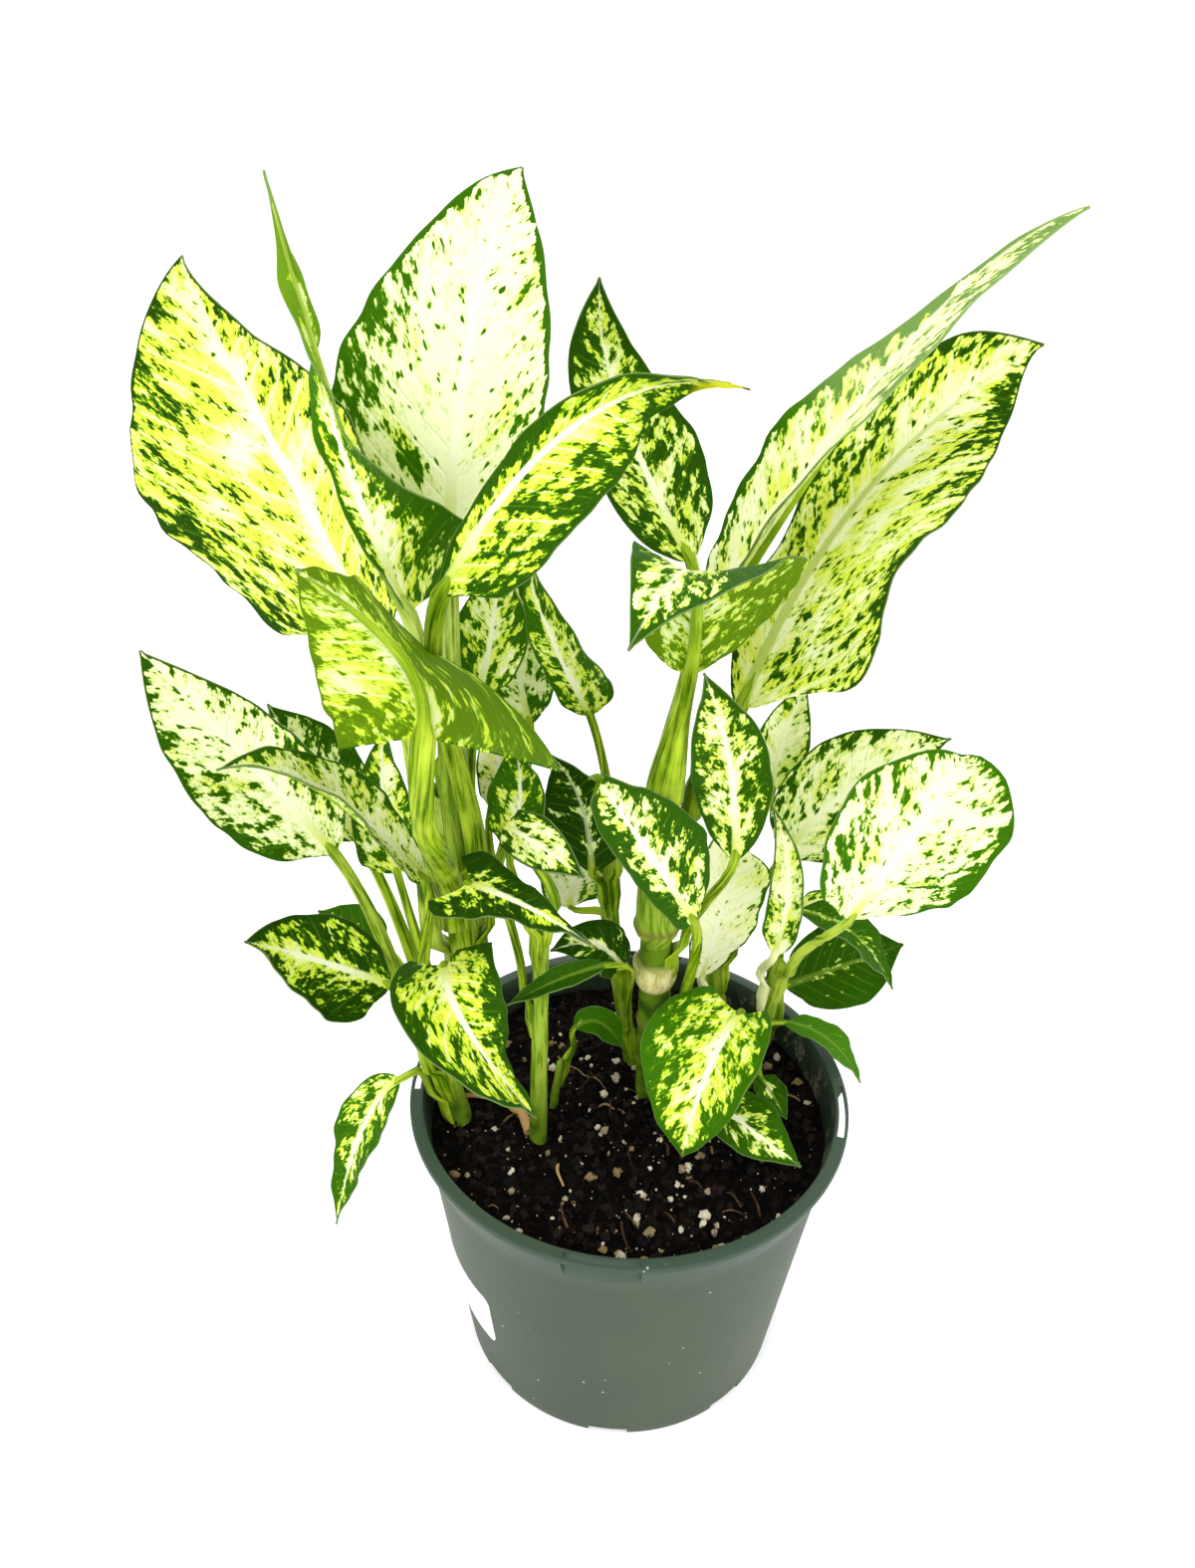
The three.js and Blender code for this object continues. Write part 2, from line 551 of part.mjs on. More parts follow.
function halfWidth(leaf, t, s) {
  const half = halfOf(leaf, s);
  const widest = half.widest ?? 0.42;
  const root = half.root ?? 0.3;
  const [nipAt, nip, nipSpread] = half.nip ?? [0, 0, 1];
  const nipped = 1 - nip * Math.exp(-Math.pow((t - nipAt) / nipSpread, 2));
  const most = (half.width / 2) * (1 + (leaf.skew ?? 0) * s) * nipped;
  if (t < widest) return most * (root + (1 - root) * Math.sin((Math.PI / 2) * Math.pow(t / widest, 0.8)));
  const u = (t - widest) / (1 - widest);
  return Math.max(0.9, most * Math.pow(1 - Math.pow(u, half.blunt ?? 2), half.taper ?? 1.3));
}

// A ring across the blade at t, from 0 at its base to 1 at its tip.
function bladeRing(leaf, rib, t) {
  const middle = rib.getPointAt(t).addScaledVector(vector(leaf.hook ?? [0, 0, 0]), Math.pow(t, 8));
  const along = rib.getTangentAt(t);
  const face = vector(leaf.face).lerp(vector(leaf.faceTip ?? leaf.face), t);
  face.addScaledVector(along, -face.dot(along)).normalize();
  face.applyAxisAngle(along, radians((leaf.twist ?? 0) * t));
  const side = along.clone().cross(face);
  const fade = Math.min(1, 6 * t) * Math.min(1, 5 * (1 - t));
  const ring = { top: [], under: [] };
  for (const s of across) {
    const out = Math.abs(s);
    const wide = halfWidth(leaf, t, Math.sign(s));
    const half = halfOf(leaf, s);
    const open = Math.min(1, 0.3 + 3 * t) * (1 - (leaf.open ?? 0) * t);
    const lift = radians((half.fold + half.curl * out) * open);
    const ripple = leaf.wave * out * out * fade * Math.sin(t * 15 + (s > 0 ? 1.7 : 0));
    const back = (leaf.lobe ?? 0) * Math.pow(out, 1.5) * Math.pow(1 - t, 5);
    const spot = middle
      .clone()
      .addScaledVector(side, s * wide * Math.cos(lift))
      .addScaledVector(face, out * wide * Math.sin(lift) + ripple)
      .addScaledVector(along, -back);
    const normal = face
      .clone()
      .multiplyScalar(Math.cos(lift))
      .addScaledVector(side, -Math.sign(s) * Math.sin(lift));
    const thick = lerp(blade.centre, blade.margin, out);
    const keel = s === 0 ? blade.rib * (1 - t) : 0;
    ring.top.push(spot.clone().addScaledVector(normal, thick / 2));
    ring.under.push(spot.clone().addScaledVector(normal, -thick / 2 - keel));
  }
  return ring;
}

// A round ring across the stalk. face points to its upper side.
function stalkRing(middle, along, face, radius) {
  const upper = face.clone().addScaledVector(along, -face.dot(along)).normalize();
  const side = along.clone().cross(upper);
  const ring = { top: [], under: [] };
  across.forEach((s) => {
    const turn = radians(90 - 72 * s);
    const spot = (flip) =>
      middle
        .clone()
        .addScaledVector(side, radius * Math.cos(turn))
        .addScaledVector(upper, flip * radius * Math.sin(turn));
    ring.top.push(spot(1));
    ring.under.push(spot(-1));
  });
  return ring;
}

// The part of a leaf that clasps its cane, and the frame in which the stalk leaves it.
function sheath(leaf) {
  const cane = canes[leaf.cane];
  const curve = caneCurve(cane);
  const total = curve.getLength();
  const wrap = leaf.wrap ?? 38;
  const tall = 9;
  const frames = [0, 1].map((k) => {
    const at = Math.min(1, heightOn(curve, leaf.at) + (k * tall) / total);
    const middle = curve.getPointAt(at);
    const along = curve.getTangentAt(at);
    const out = new THREE.Vector3(Math.cos(radians(leaf.turn)), Math.sin(radians(leaf.turn)), 0);
    out.addScaledVector(along, -out.dot(along)).normalize();
    return { middle, along, out, radius: lerp(cane.radius, cane.top, at) };
  });
  const rings = frames.map(({ middle, along, out, radius }) => {
    const face = out.clone().negate();
    const side = along.clone().cross(face);
    const inner = (radius + clearance) / Math.cos(radians(wrap / 4));
    const ring = { top: [], under: [] };
    for (const s of across) {
      const turn = radians(s * wrap);
      const spot = (r) =>
        middle
          .clone()
          .addScaledVector(out, r * Math.cos(turn))
          .addScaledVector(side, r * Math.sin(turn));
      ring.top.push(spot(inner));
      ring.under.push(spot(inner + lerp(2.2, 0.9, Math.abs(s))));
    }
    return ring;
  });
  return { rings, end: frames[1] };
}

function makeLeaf(leaf) {
  const rib = ribCurve(leaf);
  const long = rib.getLength();
  const segments = leaf.segments ?? Math.max(6, Math.min(11, Math.round(long / 10)));
  const { rings, end } = sheath(leaf);
  const start = end.middle
    .clone()
    .addScaledVector(end.along, 5)
    .addScaledVector(end.out, end.radius + clearance + leaf.stalk + 0.9);
  const base = rib.getPointAt(0);
  const gap = start.distanceTo(base);
  const arrival = rib.getTangentAt(0).lerp(base.clone().sub(start).normalize(), leaf.knee ?? 0.3).normalize();
  const stalk = new THREE.CubicBezierCurve3(
    start,
    start.clone().addScaledVector(end.along, gap * (leaf.rise ?? 0.35)),
    base.clone().addScaledVector(arrival, -gap * 0.3),
    base,
  );
  const steps = Math.max(2, Math.min(5, Math.round(gap / 20)));
  const inward = end.out.clone().negate();
  const places = Array.from({ length: steps }, (_, i) => i / steps);
  const broadBase = [1, -1].some((s) => (halfOf(leaf, s).root ?? 0.3) > 0.5);
  if (broadBase) places.push(0.95);
  for (const at of places) {
    const face = inward.clone().lerp(vector(leaf.face), at);
    const radius = lerp(leaf.stalk, leaf.stalk * 0.72, at);
    rings.push(stalkRing(stalk.getPointAt(at), stalk.getTangentAt(at), face, radius));
  }
  for (let i = 0; i <= segments; i++) rings.push(bladeRing(leaf, rib, i / segments));
  return loft(rings);
}

const colours = { pot: "#34493a", soil: "#241a14", label: "#f4f4f2", cane: "#7fa03c", leaf: "#a9c93f" };

function material(colour, roughness) {
  return new THREE.MeshStandardMaterial({ color: colour, roughness, metalness: 0, side: THREE.DoubleSide });
}

const plant = new THREE.Group();

function add(name, geometry, colour, roughness) {
  const mesh = new THREE.Mesh(geometry, material(colour, roughness));
  mesh.name = name;
  plant.add(mesh);
}

add("pot", makePot(), colours.pot, 0.55);
add("soil", makeSoil(), colours.soil, 0.95);
add("label", makeLabel(), colours.label, 0.6);
for (const [name, cane] of Object.entries(canes)) {
  add(`cane_${name}`, tube(cane.path, cane.radius, cane.top, 10, 6, 1, ringScars[name]), colours.cane, 0.5);
}
for (const [name, leaf] of Object.entries(leaves)) add(name, makeLeaf(leaf), colours.leaf, 0.4);

export default plant;
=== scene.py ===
import bisect
import math
import random

import bmesh
import bpy
from mathutils import Matrix, Vector, noise


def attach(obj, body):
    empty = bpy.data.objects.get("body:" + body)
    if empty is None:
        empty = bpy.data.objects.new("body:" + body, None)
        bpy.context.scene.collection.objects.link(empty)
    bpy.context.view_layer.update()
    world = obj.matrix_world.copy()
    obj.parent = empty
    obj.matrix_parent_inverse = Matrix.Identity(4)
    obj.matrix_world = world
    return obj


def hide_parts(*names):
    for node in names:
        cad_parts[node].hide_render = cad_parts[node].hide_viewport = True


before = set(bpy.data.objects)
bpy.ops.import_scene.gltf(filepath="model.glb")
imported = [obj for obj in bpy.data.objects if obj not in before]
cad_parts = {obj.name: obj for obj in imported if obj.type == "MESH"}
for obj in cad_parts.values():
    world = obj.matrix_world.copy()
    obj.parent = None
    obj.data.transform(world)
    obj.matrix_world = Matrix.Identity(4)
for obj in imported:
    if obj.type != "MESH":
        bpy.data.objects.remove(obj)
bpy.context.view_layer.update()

mm = 0.001

# The view: where it is seen from (mm), how it is turned (degrees), and its frame, where focal and
# longSide have one measure.
camera = {
    "spot": (-14.8, -359.2, 474.7), "down": 31.45, "roll": 1.39,
    "focal": 1300, "longSide": 1575, "sensor": 36, "near": 0.01, "far": 100,
}
# The floor is flat near the object and rises far from it, so that it is its own backdrop. Metres.
studio = {
    "floor": 30, "flat": 3, "slope": 0.8, "cells": 48, "floorColour": (0.95, 0.95, 0.95, 1),
    "glow": 0.22, "world": 0.8, "aim": (0, 0, 0.2),
}
lamps = {
    "key": {"spot": (-0.9, -1.3, 1.7), "size": 1.6, "watts": 23},
    "fill": {"spot": (1.5, -0.7, 1.2), "size": 1.6, "watts": 11},
    "back": {"spot": (0.2, 1.5, 1.5), "size": 1.4, "watts": 10},
}


def makeCamera():
    data = bpy.data.cameras.new("camera")
    data.sensor_width = camera["sensor"]
    data.lens = camera["focal"] / camera["longSide"] * camera["sensor"]
    data.clip_start = camera["near"]
    data.clip_end = camera["far"]
    seen = bpy.data.objects.new("camera", data)
    bpy.context.scene.collection.objects.link(seen)
    tilt = Matrix.Rotation(math.radians(90 - camera["down"]), 4, "X")
    roll = Matrix.Rotation(math.radians(camera["roll"]), 4, "Z")
    seen.matrix_world = Matrix.Translation(Vector(camera["spot"]) * mm) @ tilt @ roll
    bpy.context.scene.camera = seen


def makeStudio():
    world = bpy.data.worlds.new("studio")
    bpy.context.scene.world = world
    world.use_nodes = True
    sky = world.node_tree.nodes["Background"]
    sky.inputs["Color"].default_value = (1, 1, 1, 1)
    sky.inputs["Strength"].default_value = studio["world"]
    for name, lamp in lamps.items():
        data = bpy.data.lights.new(name, "AREA")
        data.shape = "DISK"
        data.size = lamp["size"]
        data.energy = lamp["watts"]
        made = bpy.data.objects.new(name, data)
        bpy.context.scene.collection.objects.link(made)
        made.location = lamp["spot"]
        made.rotation_euler = (Vector(studio["aim"]) - made.location).to_track_quat("-Z", "Y").to_euler()
    bm = bmesh.new()
    cells = studio["cells"]
    bmesh.ops.create_grid(bm, x_segments=cells, y_segments=cells, size=studio["floor"])
    for vert in bm.verts:
        vert.co.z = max(0, vert.co.length - studio["flat"]) * studio["slope"]
    floor = newObject("floor", bm)
    material, shade = newMaterial("pale_floor", roughness=0.9)
    shade.set("Base Color", studio["floorColour"])
    shade.set("Emission Color", (1, 1, 1, 1))
    shade.set("Emission Strength", studio["glow"])
    floor.data.materials.append(material)


# A value that varies over a surface, and sums with such values. A text stands for a colour.
class Shade:
    def __init__(self, tree, socket=None):
        self.tree = tree
        self.socket = socket

    def make(self, kind, settings=None, inputs=None, output=0):
        node = self.tree.nodes.new(kind)
        for name, value in (settings or {}).items():
            setattr(node, name, value)
        for name, value in (inputs or {}).items():
            self.feed(node.inputs[name], value)
        return Shade(self.tree, node.outputs[output])

    def feed(self, socket, value):
        if isinstance(value, Shade):
            self.tree.links.new(value.socket, socket)
        else:
            socket.default_value = colour(value) if isinstance(value, str) else value

    def maths(self, operation, first, second=0.0):
        return self.make("ShaderNodeMath", {"operation": operation}, {0: first, 1: second})

    def __add__(self, other):
        return self.maths("ADD", self, other)

    def __radd__(self, other):
        return self.maths("ADD", other, self)

    def __sub__(self, other):
        return self.maths("SUBTRACT", self, other)

    def __rsub__(self, other):
        return self.maths("SUBTRACT", other, self)

    def __mul__(self, other):
        return self.maths("MULTIPLY", self, other)

    def power(self, exponent):
        return self.maths("POWER", self, exponent)

    def size(self):
        return self.maths("ABSOLUTE", self)

    def most(self, other):
        return self.maths("MAXIMUM", self, other)

    def wave(self, half):
        return self.maths("PINGPONG", self, half)

    def step(self, low, high):
        inputs = {"Value": self, "From Min": low, "From Max": high}
        return self.make("ShaderNodeMapRange", {"interpolation_type": "SMOOTHSTEP"}, inputs)

    def parts(self):
        return [self.make("ShaderNodeSeparateXYZ", None, {0: self}, i) for i in range(3)]

    def attribute(self, name):
        return self.make("ShaderNodeAttribute", {"attribute_name": name}, None, 1)

    def objectPlace(self):
        return self.make("ShaderNodeTexCoord", None, None, 3)

    def noise(self, place, scale, detail=2.0, roughness=0.5):
        if isinstance(place, tuple):
            place = self.make("ShaderNodeCombineXYZ", None, dict(enumerate(place)))
        inputs = {"Vector": place, "Scale": scale, "Detail": detail, "Roughness": roughness}
        return self.make("ShaderNodeTexNoise", None, inputs)

    def cells(self, place, scale):
        return self.make("ShaderNodeTexVoronoi", None, {"Vector": place, "Scale": scale})

    def mix(self, first, second, factor):
        return self.make("ShaderNodeMix", {"data_type": "RGBA"}, {0: factor, 6: first, 7: second}, 2)

    def paint(self, second, factor):
        return self.mix(self, second, factor)

    def set(self, name, value):
        self.feed(self.tree.nodes["Principled BSDF"].inputs[name], value)

    def skin(self, base, height, distance, strength):
        inputs = {"Height": height, "Distance": distance, "Strength": strength}
        self.set("Base Color", base)
        self.set("Normal", self.make("ShaderNodeBump", None, inputs))


def colour(text):
    # A colour from its usual six-digit name, as light values.
    values = [int(text[i : i + 2], 16) / 255 for i in (0, 2, 4)]
    return tuple(v / 12.92 if v <= 0.04045 else ((v + 0.055) / 1.055) ** 2.4 for v in values) + (1,)


def newMaterial(name, roughness=0.5, specular=0.5):
    material = bpy.data.materials.new(name)
    material.use_nodes = True
    shade = Shade(material.node_tree)
    shade.set("Roughness", roughness)
    shade.set("Specular IOR Level", specular)
    return material, shade


def newObject(name, bm, smooth=None):
    # smooth is the angle up to which an edge looks rounded, in degrees.
    mesh = bpy.data.meshes.new(name)
    bm.to_mesh(mesh)
    bm.free()
    made = bpy.data.objects.new(name, mesh)
    bpy.context.scene.collection.objects.link(made)
    if smooth is not None:
        mesh.polygons.foreach_set("use_smooth", [True] * len(mesh.polygons))
        mesh.set_sharp_from_angle(angle=math.radians(smooth))
    return made


def turnOutward(bm):
    bmesh.ops.recalc_face_normals(bm, faces=bm.faces)


def applied(made):
    # The mesh of an object with its modifiers in it, and the object gone.
    mesh = bpy.data.meshes.new_from_object(made.evaluated_get(bpy.context.evaluated_depsgraph_get()))
    bpy.data.objects.remove(made)
    return mesh


def tubeForm(sides, rings):
    # A closed upright tube with a row of points at each of its rings.
    bm = bmesh.new()
    bmesh.ops.create_cone(bm, cap_ends=True, segments=sides, radius1=1, radius2=1, depth=1)
    uprights = [edge for edge in bm.edges if abs(edge.verts[0].co.z - edge.verts[1].co.z) > 0.5]
    bmesh.ops.subdivide_edges(bm, edges=uprights, cuts=rings - 1, use_grid_fill=True)
    return bm


def joined(forms):
    # One bmesh that holds several, each of which is used up.
    whole = bmesh.new()
    for form in forms:
        mesh = form
        if isinstance(form, bmesh.types.BMesh):
            mesh = bpy.data.meshes.new("form")
            form.to_mesh(mesh)
            form.free()
        whole.from_mesh(mesh)
        bpy.data.meshes.remove(mesh)
    return whole


def finished(made, slot, materials, *replaced):
    for material in materials:
        made.data.materials.append(material)
    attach(made, "root")
    if replaced:
        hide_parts(*replaced)


def lerp(a, b, k):
    return a + (b - a) * k


def clamp(x, low, high):
    return max(low, min(high, x))


def ease(low, high, x):
    k = clamp((x - low) / (high - low), 0, 1)
    return k * k * (3 - 2 * k)


# A smooth run of points, met by its share of the whole length.
class Path:
    def __init__(self, spotAt, steps=120):
        self.spots = [spotAt(i / steps) for i in range(steps + 1)]
        self.lengths = [0.0]
        for a, b in zip(self.spots, self.spots[1:]):
            self.lengths.append(self.lengths[-1] + (b - a).length)
        self.total = self.lengths[-1]

    def at(self, share):
        want = clamp(share, 0, 1) * self.total
        i = min(bisect.bisect_right(self.lengths, want) - 1, len(self.spots) - 2)
        step = self.lengths[i + 1] - self.lengths[i]
        return self.spots[i].lerp(self.spots[i + 1], (want - self.lengths[i]) / step)

    def along(self, share):
        gap = 0.008
        return (self.at(share + gap) - self.at(share - gap)).normalized()


def bezier(points, t):
    while len(points) > 1:
        points = [a.lerp(b, t) for a, b in zip(points, points[1:])]
    return points[0]


def caneSpot(points, t):
    run = (len(points) - 1) * t
    i = min(int(run), len(points) - 2)
    k = run - i
    a, b = points[i], points[i + 1]
    before = points[i - 1] if i else a * 2 - b
    after = points[i + 2] if i + 2 < len(points) else b * 2 - a
    d0, d1, d2 = ((q - p).length ** 0.5 for p, q in ((before, a), (a, b), (b, after)))
    start = ((a - before) / d0 - (b - before) / (d0 + d1) + (b - a) / d1) * d1
    end = ((b - a) / d1 - (after - a) / (d1 + d2) + (after - b) / d2) * d1
    return a + start * k + ((b - a) * 3 - start * 2 - end) * k**2 + ((a - b) * 2 + start + end) * k**3


# Millimetres, +Z up, from the centre of the pot's foot.
pot = {
    "height": 120.6, "rimRadius": 82.5, "mouthRadius": 77.6, "bandFoot": 106, "shoulderRadius": 76.7,
    "baseRadius": 63.3, "wall": 1.6, "flange": 2, "floorHeight": 4, "footWidth": 5, "bossRadius": 10,
    "sides": 168, "wallRings": (0.05, 0.1, 0.3, 0.6, 0.85, 0.95),
}
rimSlot = {"count": 4, "firstAngle": -97, "halfAngle": 9.5, "inner": 78.9, "outer": 81.3}
drainNotch = {"count": 8, "firstAngle": -94.5, "width": 15, "height": 3}
soil = {"top": 106, "lump": 2.0, "wallGap": 0.4, "around": 150, "rounds": 44, "grain": 1.3}
# How close the bumps of the soil lie, and how high they are.
soilLumps = ((0.16, 1.1), (0.45, 0.9), (1.1, 0.5))
label = {"angle": 203, "halfAngle": 21, "low": 30, "high": 58, "thick": 0.35, "corner": 3}
# The gap between a sheath and its cane, and between the label and the pot.
clearance = 0.35

# Each cane: its path from under the soil to its top, then its radius at foot and top.
canes = {
    "left": ([(-54, 14, 76), (-57, 13, 106), (-61, 11, 173), (-64, 8, 244), (-65, 6, 262)], 7.5, 4),
    "left_low": ([(-60, -2, 76), (-65, -4, 113), (-74, -6, 155), (-77, -6, 171)], 5, 3),
    "front": ([(-35, -13, 76), (-34, -14, 106), (-33, -16, 160), (-32, -16, 215)], 3.6, 2.4),
    "middle": ([(6, 28, 76), (2, 27, 106), (-6, 24, 161), (-10, 22, 208)], 3.4, 2.4),
    "right": ([(12, 13, 76), (10, 13, 107), (8, 11, 172), (8, 8, 246), (10, 8, 268)], 8, 4),
    "sprout": ([(-30, 2, 76), (-29, 2, 106), (-26, 2, 132)], 1.8, 1.4),
    "front_right": ([(44, 14, 76), (45, 14, 106), (46, 12, 136)], 3.2, 2.4),
    "back": ([(44, 48, 76), (40, 46, 106), (34, 42, 138), (31, 38, 182)], 4.4, 3),
    "far_right": ([(48, 36, 76), (51, 35, 106), (54, 32, 130), (57, 29, 160)], 4.4, 3),
}

# What a leaf has where its own line doesn't say otherwise.
# Its outline: skew is how much wider its right half is, widest where it is widest, root how wide its
# base is, blunt and taper how full its tip is, nip a narrower place (where, how much, how long), lobe
# how far the base reaches back past the stalk, open how much of the fold is gone at the tip, twist
# how far the tip turns (degrees) and drip how far its very tip is drawn out.
# Its stalk: rise is how long it goes up, wrap how far the sheath reaches round (degrees), stout and top
# how thick it is at its foot and under the blade, stalkPale how white it is.
# Its colours: margin is the width of the green margin, and tipGreen, flankGreen and ribGreen are more
# green at the tip, low on the right half and on the midrib. tipPale is less dark at the tip, patches
# are places with more green (across, along, size, how much), and dry is how far the tip has dried.
usual = {
    "skew": 0, "widest": 0.42, "root": 0.3, "blunt": 2, "taper": 1.3, "nip": (0, 0, 1), "left": {},
    "right": {}, "lobe": None, "open": 0, "twist": 0, "drip": (0, 0, 0), "rise": 0.35, "wrap": 38,
    "stout": 1.15, "top": 0.76, "stalkPale": 0.3, "margin": 0.6, "tipGreen": 0, "flankGreen": 0,
    "ribGreen": 0, "tipPale": 0, "patches": (), "dry": 0,
}


def outline(widest, root, blunt, taper, **rest):
    return {"widest": widest, "root": root, "blunt": blunt, "taper": taper, **rest}


def leafOf(cane, at, turn, stalk, rib, face, width, lift, tint, faceTip=None, **rest):
    # The cane that bears it, how high its sheath sits and which way it faces (degrees), how thick its
    # stalk is, its midrib from blade base to tip, the way its upper face looks at its base, its width,
    # its lift (how far both halves fold up, how far the margins curl more, how far they ripple) and its
    # tint: how green it is, how dark that green and how yellow its pale parts are.
    return {
        **usual, "cane": cane, "at": at, "turn": turn, "stalk": stalk, "rib": rib, "face": face,
        "faceTip": faceTip or face, "width": width, "fold": lift[0], "curl": lift[1], "wave": lift[2],
        "green": tint[0], "dark": tint[1], "yellow": tint[2], **rest,
    }


